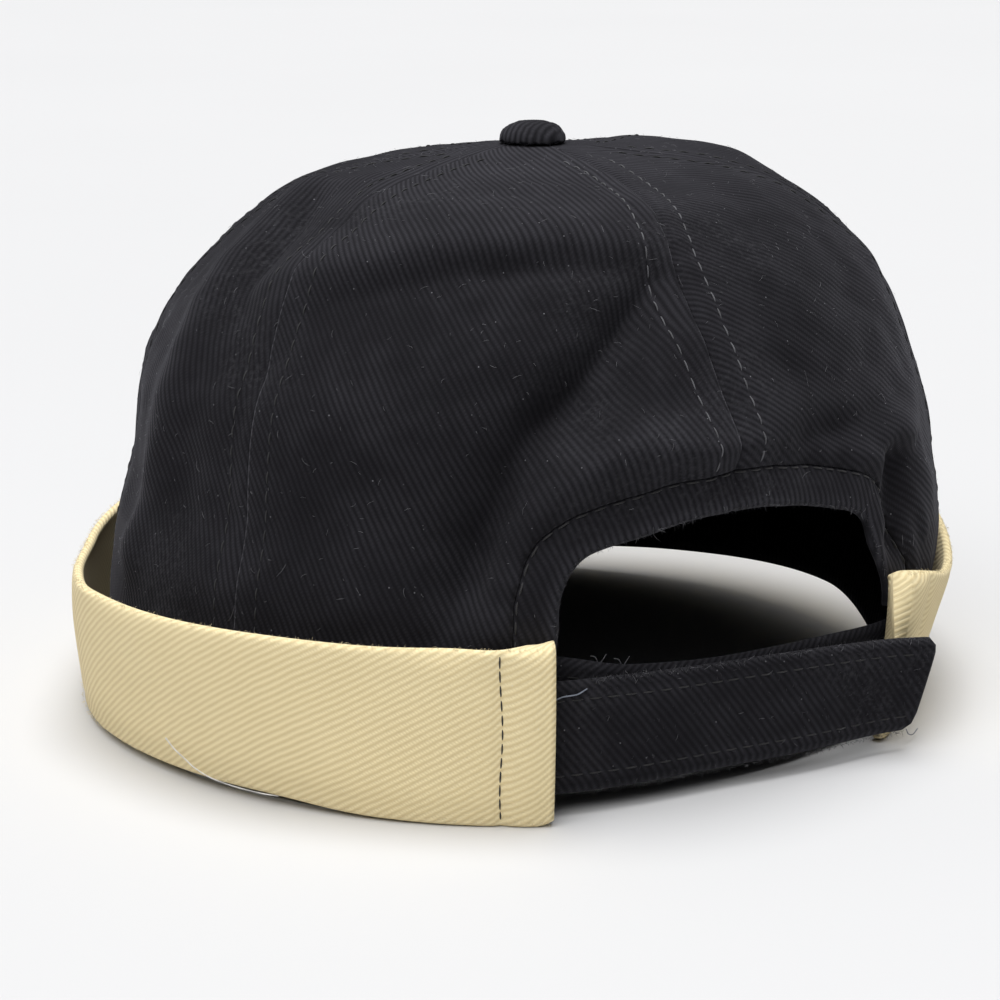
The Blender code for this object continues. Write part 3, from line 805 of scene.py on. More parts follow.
def settle(piece):
    """Applies the piece's modifiers to its mesh."""
    graph = bpy.context.evaluated_depsgraph_get()
    mesh = bpy.data.meshes.new_from_object(piece.evaluated_get(graph), depsgraph=graph)
    piece.modifiers.clear()
    piece.data = mesh


def tubes(paths, radii, normals, sides):
    """Points and faces of many thin tubes. paths and normals are (tubes, points, 3)."""
    count, length = paths.shape[:2]
    along = unit(np.gradient(paths, axis=1))
    side = unit(np.cross(along, normals))
    up = np.cross(side, along)
    angles = np.linspace(0, 2 * math.pi, sides, endpoint=False)[:, None]
    ring = np.cos(angles) * side[:, :, None, :] + np.sin(angles) * up[:, :, None, :]
    points = paths[:, :, None, :] + ring * np.broadcast_to(radii, (count, length))[:, :, None, None]
    one = loft_faces(length, sides)
    step = length * sides
    faces = [tuple(v + k * step for v in face) for k in range(count) for face in one]
    return points.reshape(-1, 3), faces


def stitches(form, name, rows, material, pitch=None, length_share=None):
    """One piece of every stitch along rows of (points, normals), which are dense lines."""
    settings = stitching()
    pitch = pitch or settings.stitch_pitch
    thread = pitch * length_share if length_share else settings.stitch_length
    paths, ups = [], []
    share = np.linspace(-0.5, 0.5, len(STITCH_TAPER))
    hump = settings.thread_radius * (1.0 - 6.5 * share**2)
    for line, normal in rows:
        length = lengths_along(line)
        for number in range(int(length[-1] / pitch)):
            places = (number + 0.5) * pitch + share * thread
            up = unit(read_path(places, length, normal))
            paths.append(read_path(places, length, line) + up * hump[:, None])
            ups.append(up)
    radii = settings.thread_radius * np.array(STITCH_TAPER)
    points, faces = tubes(np.array(paths), radii, np.array(ups), 6)
    mesh_piece(form, name, points, faces, material)


def crown_line(form, azimuth, run):
    """A dense line on the crown with its normals."""
    return form.surface(azimuth, run), form.base_normal(azimuth, run)


def set_inputs(tree, node, inputs):
    """Sets each input of a node to a number or a colour, or joins it to another's output."""
    for name, value in inputs.items():
        if isinstance(value, bpy.types.NodeSocket):
            tree.links.new(value, node.inputs[name])
        elif isinstance(value, (int, float)):
            node.inputs[name].default_value = value
        else:
            node.inputs[name].default_value = (*value, 1.0)


def new_node(tree, kind, inputs):
    node = tree.nodes.new(kind)
    set_inputs(tree, node, inputs)
    return node


def group_node(tree, name, inputs):
    """The outputs of a new node of a group."""
    node = tree.nodes.new("ShaderNodeGroup")
    node.node_tree = bpy.data.node_groups[name]
    set_inputs(tree, node, inputs)
    return node.outputs


def math_node(tree, operation, *values):
    """The output of a Math node on outputs or plain numbers."""
    node = new_node(tree, "ShaderNodeMath", dict(enumerate(values)))
    node.operation = operation
    return node.outputs[0]


def noise_node(tree, vector, scale, detail=3.0, roughness=0.5):
    inputs = {"Vector": vector, "Scale": scale, "Detail": detail, "Roughness": roughness}
    return new_node(tree, "ShaderNodeTexNoise", inputs).outputs["Fac"]


def ramp(tree, value, low, high):
    """Maps a value from low..high to 0..1, clamped and eased."""
    node = new_node(tree, "ShaderNodeMapRange", {"Value": value, "From Min": low, "From Max": high})
    node.interpolation_type = "SMOOTHSTEP"
    return node.outputs["Result"]


def wave(tree, turns):
    """A wave between 0 and 1 that repeats with each turn."""
    sine = math_node(tree, "SINE", math_node(tree, "MULTIPLY", turns, 2 * math.pi))
    return math_node(tree, "MULTIPLY_ADD", sine, 0.5, 0.5)


def mix_colour(tree, factor, first, second):
    """Mixes two colours, plain or another node's output, by a factor."""
    node = tree.nodes.new("ShaderNodeMix")
    node.data_type = "RGBA"
    set_inputs(tree, node, {0: factor, 6: first, 7: second})
    return node.outputs[2]


def new_group(name, vector, values, results):
    """A new group of shader nodes: itself, what comes in by name and what goes out."""
    group = bpy.data.node_groups.new(name, "ShaderNodeTree")
    group.interface.new_socket(vector, in_out="INPUT", socket_type="NodeSocketVector")
    for value, default in values.items():
        socket = group.interface.new_socket(value, in_out="INPUT", socket_type="NodeSocketFloat")
        socket.default_value = default
    for result in results:
        group.interface.new_socket(result, in_out="OUTPUT", socket_type="NodeSocketFloat")
    return group, group.nodes.new("NodeGroupInput").outputs, group.nodes.new("NodeGroupOutput")


def twill_group():
    """Ribs of a twill weave on the flat cloth: their height, their tone and the fine yarns.
    The tone is low in the hollows between the ribs, where it stands for painted shade.
    """
    values = {"Rib Pitch": 0.0016, "Waver": 0.35}
    group, into, out = new_group("Twill Weave", "Cloth", values, ("Height", "Tone"))
    split = new_node(group, "ShaderNodeSeparateXYZ", {0: into["Cloth"]}).outputs
    waver = math_node(group, "SUBTRACT", noise_node(group, into["Cloth"], scale=160), 0.5)
    waver = math_node(group, "MULTIPLY", waver, into["Waver"])
    across = math_node(group, "DIVIDE", split["X"], into["Rib Pitch"])
    across = math_node(group, "ADD", across, waver)
    along = math_node(group, "DIVIDE", split["Y"], into["Rib Pitch"])
    along = math_node(group, "MULTIPLY", along, 2.1)
    rib = wave(group, across)
    yarn = wave(group, math_node(group, "MULTIPLY_ADD", across, 0.5, along))
    yarn = math_node(group, "MULTIPLY_ADD", yarn, 0.35, 0.5)
    fibre = noise_node(group, into["Cloth"], scale=2600, roughness=0.6)
    height = math_node(group, "MULTIPLY", rib, yarn)
    height = math_node(group, "ADD", height, math_node(group, "MULTIPLY", fibre, 0.45))
    # Low tone in the hollows between the ribs is painted shade; the fine fibres vary it at random
    tone = math_node(group, "MULTIPLY", rib, 0.65)
    tone = math_node(group, "ADD", tone, math_node(group, "MULTIPLY", fibre, 0.35))
    set_inputs(group, out, {"Height": height, "Tone": tone})


def lint_group():
    """Specks and short fibres caught in the nap, as masks over the cap."""
    group, into, out = new_group("Caught Lint", "Place", {"Amount": 0.5}, ("Specks", "Haze"))
    cells = new_node(group, "ShaderNodeTexVoronoi", {"Vector": into["Place"], "Scale": 700}).outputs
    dot = ramp(group, cells["Distance"], 0.14, 0.04)
    split = new_node(group, "ShaderNodeSeparateColor", {0: cells["Color"]}).outputs
    rare = math_node(group, "MULTIPLY", into["Amount"], 0.16)
    rare = math_node(group, "LESS_THAN", split[0], rare)
    specks = math_node(group, "MULTIPLY", dot, rare)
    haze = noise_node(group, into["Place"], scale=26, detail=4.0, roughness=0.6)
    haze = ramp(group, haze, 0.45, 0.75)
    grain = noise_node(group, into["Place"], scale=900, roughness=0.7)
    grain = ramp(group, grain, 0.45, 0.70)
    haze = math_node(group, "MULTIPLY", math_node(group, "MULTIPLY", haze, grain), into["Amount"])
    set_inputs(group, out, {"Specks": specks, "Haze": haze})


def deepened(colour, share):
    return tuple(part * share for part in colour)


def new_material(name, constants):
    """A new material, its nodes and its shader, whose constant inputs are set."""
    material = bpy.data.materials.new(name)
    material.use_nodes = True
    shader = material.node_tree.nodes["Principled BSDF"]
    set_inputs(material.node_tree, shader, constants)
    return material, material.node_tree, shader


def cloth_material(name, raised, deep, worn_and_highlight, lint_colour, pitch, lint, sheen, sheen_rough):
    """Brushed twill: ribs from the flat cloth with painted shade between them, lint, paler nap
    for rubbed places and for painted highlight, and a soft sheen.
    """
    constants = {"Roughness": 0.95, "Specular IOR Level": 0.05, "Sheen Tint": (0.90, 0.89, 1.0)}
    constants.update({"Sheen Weight": sheen, "Sheen Roughness": sheen_rough})
    _, tree, shader = new_material(name, constants)
    flat = tree.nodes.new("ShaderNodeUVMap")
    flat.uv_map = "cloth"
    rub_and_highlight = tree.nodes.new("ShaderNodeAttribute")
    rub_and_highlight.attribute_name = "rub_and_highlight"
    place = tree.nodes.new("ShaderNodeTexCoord").outputs["Object"]
    weave = group_node(tree, "Twill Weave", {"Rib Pitch": pitch, "Cloth": flat.outputs[0]})
    caught = group_node(tree, "Caught Lint", {"Amount": lint, "Place": place})
    # Darker in the hollows between the ribs: painted shade, with a little change of tone from the fine fibres
    colour = mix_colour(tree, weave["Tone"], deep, raised)
    mottle = noise_node(tree, place, scale=70, detail=4.0, roughness=0.6)
    mottle = math_node(tree, "MULTIPLY", ramp(tree, mottle, 0.35, 0.75), 0.35)
    # Paler nap where rub_and_highlight is high: rubbed nap, and painted highlight on the crown's top and the
    # button
    wear_and_highlight = math_node(tree, "MULTIPLY", rub_and_highlight.outputs["Fac"], 0.75)
    wear_and_highlight = math_node(tree, "MULTIPLY", math_node(tree, "ADD", wear_and_highlight, mottle), weave["Tone"])
    colour = mix_colour(tree, wear_and_highlight, colour, worn_and_highlight)
    pale = math_node(tree, "MULTIPLY", caught["Haze"], 0.25)
    pale = math_node(tree, "ADD", caught["Specks"], pale)
    colour = mix_colour(tree, math_node(tree, "MULTIPLY", pale, 0.6), colour, lint_colour)
    relief = {"Strength": 1.0, "Distance": RIB_DEPTH, "Height": weave["Height"]}
    bump = new_node(tree, "ShaderNodeBump", relief)
    set_inputs(tree, shader, {"Base Color": colour, "Normal": bump.outputs[0]})


def thread_material(name, colour, sheen):
    """Sewing thread or loose fibre, with a little change of tone from place to place."""
    _, tree, shader = new_material(name, {"Roughness": 0.75, "Sheen Weight": sheen})
    place = tree.nodes.new("ShaderNodeTexCoord").outputs["Object"]
    change = ramp(tree, noise_node(tree, place, scale=240, roughness=0.6), 0.3, 0.7)
    colour = mix_colour(tree, change, deepened(colour, 0.45), colour)
    set_inputs(tree, shader, {"Base Color": colour})


def make_materials():
    twill_group()
    lint_group()
    paint = colours()
    # Painted shade in the hollows between the black ribs
    black_rib_shade = deepened(paint.black, 0.50)
    lint_on_cream = (0.84, 0.78, 0.62)
    cloths = (
        # name, raised, deep (painted shade), worn_and_highlight, lint, rib pitch, amount of lint, sheen, its
        # roughness
        (BLACK_CLOTH, paint.black, black_rib_shade, paint.black_worn_and_highlight, paint.lint, 0.00134, 0.5, 0.07, 0.40),
        (CREAM_CLOTH, paint.cream, paint.cream_rib_shade, paint.cream, lint_on_cream, 0.00125, 0.3, 0.05, 0.5),
    )
    for cloth in cloths:
        cloth_material(*cloth)
    threads = (
        # name, colour, sheen
        ("grey_thread", paint.grey_thread, 0.2),
        ("dark_grey_thread", deepened(paint.grey_thread, 0.20), 0.05),
        ("black_thread", paint.black_thread, 0.1),
        ("lint", paint.lint, 0.0),
        ("black_fuzz", deepened(paint.black_worn_and_highlight, 0.8), 0.0),
        ("cream_fuzz", paint.cream, 0.0),
        ("white_thread", (0.85, 0.84, 0.82), 0.2),
        ("blue_grey_thread", (0.26, 0.29, 0.36), 0.2),
    )
    for thread in threads:
        thread_material(*thread)


def finish(name):
    """The material of that name. All of them are made when the first one is asked for."""
    if name not in bpy.data.materials:
        make_materials()
    return bpy.data.materials[name]


def apex_run(form):
    """The run at which the panels stop, under the button."""
    runs = np.linspace(0.9, 1.0, 101)
    reach = form.base(np.full_like(runs, 90.0), runs)[:, 0] + form.lean(runs)
    return float(np.interp(-0.0030, -reach, runs))


def rotate_grain(u, v, grain):
    """Turns flat cloth coordinates so that the ribs run along the second one."""
    sine, cosine = math.sin(math.radians(grain)), math.cos(math.radians(grain))
    return np.stack((v * cosine - u * sine, u * cosine + v * sine), axis=-1)


class CAP_OT_crown(Operator):
    """Six panels of black twill, with folds, seam valleys and the arch cut out"""

    bl_idname = "cap.crown"
    bl_label = "Crown Panels"

    columns: count_setting("Columns", "Facets across a panel", 84, 8)
    rows: count_setting("Rows", "Facets up a panel", 132, 8)

    def execute(self, context):
        form = CrownForm()
        cutter = self.arch_cutter(form)
        for number, (node, grain, width, length, share) in enumerate(PANELS):
            piece = self.panel(form, number, node, grain)
            if number in (0, len(PANELS) - 1):
                cut = piece.modifiers.new("arch", "BOOLEAN")
                cut.operation = "DIFFERENCE"
                cut.object = cutter
            settle(piece)
            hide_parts(node)
        bpy.data.objects.remove(cutter, do_unlink=True)
        return {"FINISHED"}

    def panel(self, form, number, node, grain):
        """One panel on a grid that is finer beside its seams, down to the cuff's bottom fold."""
        size = form.size
        runs = np.linspace(0, apex_run(form), self.rows + 1)[:, None]
        even = np.linspace(0, 1, self.columns + 1)[None, :]
        shares = even - 0.09 * np.sin(2 * math.pi * even)
        left, right = form.seam_azimuth(number, runs), form.seam_azimuth(number + 1, runs)
        middle = (left + right) / 2
        spine = form.base(middle, runs)
        radius = form.radius(spine, runs)
        half_gap = np.degrees(size.seam_gap / 2 / np.maximum(radius, 0.003))
        azimuth = left + half_gap + (right - left - 2 * half_gap) * shares
        run = np.broadcast_to(runs, azimuth.shape)
        base, points = form.base(azimuth, run), form.surface(azimuth, run)
        across = -np.radians(azimuth - middle) * radius
        up = np.broadcast_to(lengths_along(spine[:, 0])[:, None], across.shape)
        uv = rotate_grain(across, up, grain)
        seam, strength = form.seam_distance(azimuth, run, base)
        # Paler nap: rubbed beside the seams, paler on raised folds and creases, and a painted highlight near
        # the top, where the light falls
        by_seam = 0.25 * bell(seam - 0.0020, 0.0012) + 0.20 * bell(seam - size.seam_margin, 0.0012)
        on_ridges = np.clip((form.fold_rise(base) + form.crease_rise(base)) / 0.004, 0, 1) * 0.4
        painted_top_highlight = 0.9 * np.clip((form.height_share(run) - 0.90) / 0.08, 0, 1)
        rub_and_highlight = by_seam * strength + on_ridges + painted_top_highlight
        drop = size.cuff_cloth + size.clearance - 0.0004
        points = np.concatenate((points[:1] - np.array((0, 0, drop)), points))
        uv, rub_and_highlight = np.concatenate((uv[:1], uv)), np.concatenate((rub_and_highlight[:1], rub_and_highlight))
        faces = grid_faces(self.rows + 2, self.columns + 1)
        piece = mesh_piece(form, f"{node}_cloth", points, faces, BLACK_CLOTH, uv=uv, rub_and_highlight=rub_and_highlight)
        add_wall(piece, size.crown_cloth)
        return piece

    def arch_cutter(self, form):
        """A prism through the back of the crown, as wide as the hem, that starts under the floor."""
        wide = form.smooth_arch(form.size.hem_width, 90)
        narrow = form.arch_outline(0.0)
        left, right, foot, ground = narrow[0, 0], narrow[-1, 0], wide[0, 1], -0.01
        line = np.concatenate(([(left, ground), (left, foot)], wide, [(right, foot), (right, ground)]))
        near, far = form.size.cap_length * 0.25, form.size.cap_length * 0.7
        points = np.array([(x, y, z) for y in (far, near) for x, z in line])
        mesh = bpy.data.meshes.new("arch_cutter")
        mesh.from_pydata((points + form.origin).tolist(), [], loft_faces(2, len(line)))
        cutter = bpy.data.objects.new("arch_cutter", mesh)
        bpy.context.scene.collection.objects.link(cutter)
        return cutter


class CAP_OT_hem(Operator):
    """The turned and stitched hem round the arched opening"""

    bl_idname = "cap.opening_hem"
    bl_label = "Opening Hem"

    stations: count_setting("Stations", "Facets along the hem", 190, 16)

    def execute(self, context):
        form = CrownForm()
        loops, flats = [], []
        for spread, depth in HEM_SECTION:
            line = form.smooth_arch(spread * form.size.hem_width, self.stations)
            azimuth, run = form.place(line[:, 0], line[:, 1])
            loops.append(form.surface(azimuth, run, depth * form.size.crown_cloth))
            flats.append(rotate_grain(-line[:, 0], line[:, 1], HEM_GRAIN))
        points, uv = np.stack(loops, axis=1), np.stack(flats, axis=1)
        rub_and_highlight = np.zeros(points.shape[:2])
        rub_and_highlight[:, ROLLED_EDGE] = (0.3, 0.7, 0.8, 0.3)
        faces = loft_faces(self.stations, len(HEM_SECTION))
        piece = mesh_piece(form, "arch_hem", points, faces, BLACK_CLOTH, uv=uv, rub_and_highlight=rub_and_highlight)
        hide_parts("opening_facing")
        return {"FINISHED"}


class CAP_OT_cuff(Operator):
    """The turned-up cuff of cream twill with its bottom fold, hemmed ends and ribs"""

    bl_idname = "cap.cuff"
    bl_label = "Cuff"

    stations: count_setting("Stations", "Facets along the cuff", 400, 16)
    levels: count_setting("Levels", "Facets up the cuff", 18, 4)

    def execute(self, context):
        form = CrownForm()
        left, right = form.size.cuff_left_end, form.size.cuff_right_end
        share = np.linspace(0, 1, self.stations + 1)
        share = share - 0.03 * np.sin(2 * math.pi * share)
        azimuths = left + (right - left) * share
        sections = [self.section(form, float(azimuth)) for azimuth in azimuths]
        points, uv, rub_and_highlight = (np.array(each) for each in zip(*sections))
        uv = rotate_grain(uv[..., 0], uv[..., 1], CUFF_GRAIN)
        faces = [tuple(reversed(face)) for face in loft_faces(len(azimuths), points.shape[1])]
        piece = mesh_piece(form, "cuff_band", points, faces, CREAM_CLOTH, uv, rub_and_highlight)
        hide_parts("cuff")
        return {"FINISHED"}

    def section(self, form, azimuth):
        """The cuff's closed section: bottom fold, outer face, top fold and inner face."""
        size = form.size
        hem = form.from_cuff_end(azimuth)
        top = form.cuff_top(azimuth)
        # the left end's tip stands up a little, and both lower corners are rounded
        if azimuth < 180:
            top += 0.0007 * bell(hem, 0.0018)
        lift = float(form.lift(azimuth)) + 0.0012 * max(1 - hem / 0.0035, 0) ** 2
        foot_top = lift + size.cuff_cloth
        foot_inner = float(form.wall_radius(azimuth, foot_top)) + size.clearance
        levels = np.linspace(foot_top, top, self.levels + 1)
        outer = cuff_face(form, azimuth, levels)
        # the hems at the ends are thicker, so there the inner face lies on the crown
        thin = min(max(2 * hem / size.cuff_hem - 1, 0), 1)
        inner = form.wall_radius(azimuth, levels) + size.clearance
        inner = inner + thin * form.cuff_stand_off(azimuth, levels)
        top_middle = (outer[-1] + inner[-1]) / 2
        top_half = (outer[-1] - inner[-1]) / 2
        top_rise = min(top_half, 0.0013)
        corner, bevel = 0.0011, 0.0004
        flat_end = outer[0] - corner
        profile = [(foot_inner, lift + bevel), (foot_inner + bevel, lift)]
        profile += [((foot_inner + flat_end) / 2, lift), (flat_end, lift)]
        for angle in np.radians((25, 50, 75)):
            profile.append((flat_end + corner * np.sin(angle), lift + corner - corner * np.cos(angle)))
        profile += list(zip(outer[:-1], levels[:-1]))
        for angle in np.radians((0, 25, 55, 90, 125, 155, 180)):
            height = top - top_rise + top_rise * np.sin(angle)
            profile.append((top_middle + top_half * np.cos(angle), height))
        keep = levels < top - top_rise * 1.2
        profile += list(zip(inner[keep][::-2], levels[keep][::-2]))
        profile += [(foot_inner + bevel, foot_top), (foot_inner, foot_top - bevel)]
        profile = np.array(profile)
        rise = lengths_along(profile)
        flat = np.stack((np.full(len(rise), -form.walk(azimuth)), rise), axis=-1)
        near_fold = np.minimum(np.abs(profile[:, 1] - top), np.abs(profile[:, 1] - lift))
        points = [on_azimuth(azimuth, radius, z) for radius, z in profile]
        return points, flat, bell(near_fold, 0.0016)


def cuff_face(form, azimuth, z):
    """Radius of the cuff's outer face: its waves, the rolled edges and the ends' hems."""
    size = form.size
    height = (z - form.lift(azimuth)) / (size.cuff_height * form.rim_value(azimuth, 3))
    height = np.clip(height, 0, 1)
    walk, hem = form.walk(azimuth), form.from_cuff_end(azimuth)
    belly = np.sin(math.pi * height)
    relief = 0.00045 * np.sin(walk / 0.031 + 2.0 * height) * belly
    relief += 0.00022 * np.sin(walk / 0.0118 - 3.0 * height + 1.0) * belly
    relief -= 0.0007 * bell(height, 0.09) + 0.0003 * bell(1 - height, 0.05)
    relief += 0.00030 * bell(hem - size.cuff_hem * 0.45, 0.0030)
    relief -= 0.00050 * bell(hem - size.cuff_hem, 0.0011)
    return form.cuff_outer_radius(azimuth, z) + relief


class CAP_OT_straps(Operator):
    """The two black straps that close the opening"""

    bl_idname = "cap.straps"
    bl_label = "Straps"

    stations: count_setting("Stations", "Facets along a strap", STRAP_STATIONS, 16)

    def execute(self, context):
        form = CrownForm()
        for node in STRAPS:
            self.strap(form, node)
        return {"FINISHED"}

    def strap(self, form, node):
        """One folded strap, thinner along its stitches and rounded at its edges and ends."""
        centre, normal, along, up = strap_sheet(form, node, self.stations)
        level = np.abs(np.linspace(-1, 1, STRAP_LEVELS))
        edge = np.sqrt(np.clip(1 - np.clip((level - 0.9) / 0.1, 0, 1) ** 2, 0.04, 1))
        pinch = 1 - 0.28 * bell(level - 0.66, 0.07)
        ends = np.minimum(along, along[-1] - along)
        round_end = np.sqrt(np.clip(1 - np.clip(1 - ends / 0.0010, 0, 1) ** 2, 0.04, 1))
        thick = form.size.strap_cloth / 2 * (edge * pinch)[None, :] * round_end[:, None]
        outer, inner = centre + normal * thick[..., None], centre - normal * thick[..., None]
        points = np.concatenate((outer, inner[:, ::-1]), axis=1)
        uv = rotate_grain(*np.broadcast_arrays(along[:, None], up[None, :]), STRAP_GRAIN)
        uv = np.concatenate((uv, uv[:, ::-1]), axis=1)
        rub_and_highlight = 0.7 * bell(1 - level, 0.05) + 0.3 * bell(level - 0.66, 0.05)
        rub_and_highlight = np.broadcast_to(np.concatenate((rub_and_highlight, rub_and_highlight[::-1])), points.shape[:2])
        faces = [tuple(reversed(face)) for face in loft_faces(len(along), points.shape[1])]
        piece = mesh_piece(form, f"{node}_band", points, faces, BLACK_CLOTH, uv=uv, rub_and_highlight=rub_and_highlight)
        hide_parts(node)


def strap_sheet(form, node, stations=STRAP_STATIONS, levels=STRAP_LEVELS):
    """A strap's middle surface with its normals, lengths along it and heights across it."""
    size = form.size
    slant = size.strap_slant if node == "strap_outer" else 0.0
    share = np.linspace(0, 1, stations)
    middle = np.zeros((stations, levels, 3))
    for level, high in enumerate(np.linspace(0, 1, levels)):
        points = []
        for azimuth, lies, inset, rise, width in STRAPS[node]:
            z = size.strap_foot + size.strap_width * (rise + high * width)
            points.append(on_azimuth(azimuth, form.strap_radius(azimuth, lies, inset, z), z))
        points = np.array(points)
        length = lengths_along(points)
        corner = np.clip((abs(2 * high - 1) - 0.7) / 0.3, 0, 1)
        reach = length[-1] - slant * (1 - high) - 0.0022 * corner**2
        middle[:, level] = smooth_path(share * reach, length, points)
    normal = unit(np.cross(np.gradient(middle, axis=1), np.gradient(middle, axis=0)))
    normal = normal * np.sign((normal[..., :2] * middle[..., :2]).sum(axis=-1).mean())
    along = lengths_along(middle[:, levels // 2])
    ripple = 0.00022 * np.sin(along / 0.0072)[:, None] * np.linspace(-1, 1, levels)[None, :]
    middle = middle + normal * ripple[..., None]
    return middle, normal, along, np.linspace(0, size.strap_width, levels)


class CAP_OT_button(Operator):
    """The button on top, covered with gathered black twill"""

    bl_idname = "cap.button"
    bl_label = "Top Button"

    turns: count_setting("Turns", "Facets round the button", 72, 8)
    levels: count_setting("Levels", "Facets from its top to its underside", 20, 8)

    def execute(self, context):
        form = CrownForm()
        base = BUTTON_LOW[2] + 0.0028
        height = BUTTON_HIGH[2] - base
        angle = np.linspace(0, 2 * math.pi, self.turns, endpoint=False)[None, :]
        bend = np.linspace(0, math.pi, self.levels)[:, None]
        across = form.size.button_radius * np.sin(bend) ** 0.62
        up = 0.16 + np.where(bend < math.pi / 2, 0.84, 0.16) * np.cos(bend)
        pleat = 1 + 0.020 * np.sin(angle * 11 + 0.6 * np.sin(angle * 3)) * np.clip(bend - 0.9, 0, 1)
        dent = 1 - 0.05 * bell(angle - 2.2, 0.5) * bell(bend - 0.7, 0.4)
        x = across * np.sin(angle) * pleat
        y = across * np.cos(angle) * pleat
        z = base + height * up * dent
        points = np.stack((x - form.size.apex_lean, y, z), axis=-1)
        lump = 0.0005 * unevenness(points, 0.0035, 5)
        points[..., 2] -= np.abs(lump) * np.sin(bend)
        faces = grid_faces(self.levels, self.turns, closed=True)
        uv = rotate_grain(x, y, BUTTON_GRAIN)
        # Paler nap over the whole button, most on its shoulder: a painted highlight like the one on the
        # crown's top
        rub_and_highlight = np.broadcast_to(np.clip(bell(bend - 1.3, 0.4) * 0.5 + 0.4, 0, 1), x.shape)
        piece = mesh_piece(form, "button_cover", points, faces, BLACK_CLOTH, uv=uv, rub_and_highlight=rub_and_highlight)
        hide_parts("top_button")
        return {"FINISHED"}


class CAP_OT_stitches(Operator):
    """Rows of stitches beside the seams, round the arch and on the cuff and straps"""

    bl_idname = "cap.stitches"
    bl_label = "Stitches"

    def execute(self, context):
        form = CrownForm()
        for seam in range(len(SEAMS)):
            self.seam_rows(form, seam)
        self.hem_row(form)
        self.cuff_row(form)
        for node in STRAPS:
            self.strap_rows(form, node)
        return {"FINISHED"}

    def seam_rows(self, form, seam):
        """A row on each side of a seam, clear of the arch and the button."""
        run = np.linspace(0.02, 0.955, 500)
        middle = form.seam_azimuth(seam, run)
        radius = form.radius(form.base(middle, run), run)
        step = np.degrees(form.size.seam_margin / radius)
        rows = []
        for side in (-1, 1):
            line, normal = crown_line(form, middle + side * step, run)
            spread, _ = form.arch_spread(line)
            shown = (line[:, 1] < 0) | (spread > form.size.hem_width * 1.05)
            shown &= radius > form.size.button_radius * 1.25
            rows.append((line[shown], normal[shown]))
        material = "dark_grey_thread" if seam else "grey_thread"
        stitches(form, f"seam_stitches_{seam}", rows, material)

    def hem_row(self, form):
        line = form.smooth_arch(form.size.hem_width * 0.93, 600)
        azimuth, run = form.place(line[:, 0], line[:, 1])
        stitches(form, "hem_stitches", [crown_line(form, azimuth, run)], "black_thread")

    def cuff_row(self, form):
        """The row that holds the hem at the cuff's left end, a little wavy."""
        azimuth = form.size.cuff_left_end + math.degrees(form.size.cuff_hem / (form.size.cap_length / 2))
        lift = float(form.lift(azimuth))
        z = np.linspace(lift + 0.0006, lift + form.size.cuff_height - 0.0006, 120)
        sway = azimuth + 0.16 * np.sin(z / 0.0042)
        radius = cuff_face(form, sway, z)
        line = np.array([on_azimuth(*place) for place in zip(sway, radius, z)])
        rows = [(line, outward(line))]
        stitches(form, "cuff_stitches", rows, "black_thread", pitch=0.0029, length_share=0.94)

    def strap_rows(self, form, node):
        """Rows near a strap's two edges, at the levels where it is pinched."""
        centre, normal, _, _ = strap_sheet(form, node)
        line = centre + normal * form.size.strap_cloth * 0.36
        rows = [(line[2:-2, level], normal[2:-2, level]) for level in (2, 10)]
        stitches(form, f"{node}_stitches", rows, "black_thread")


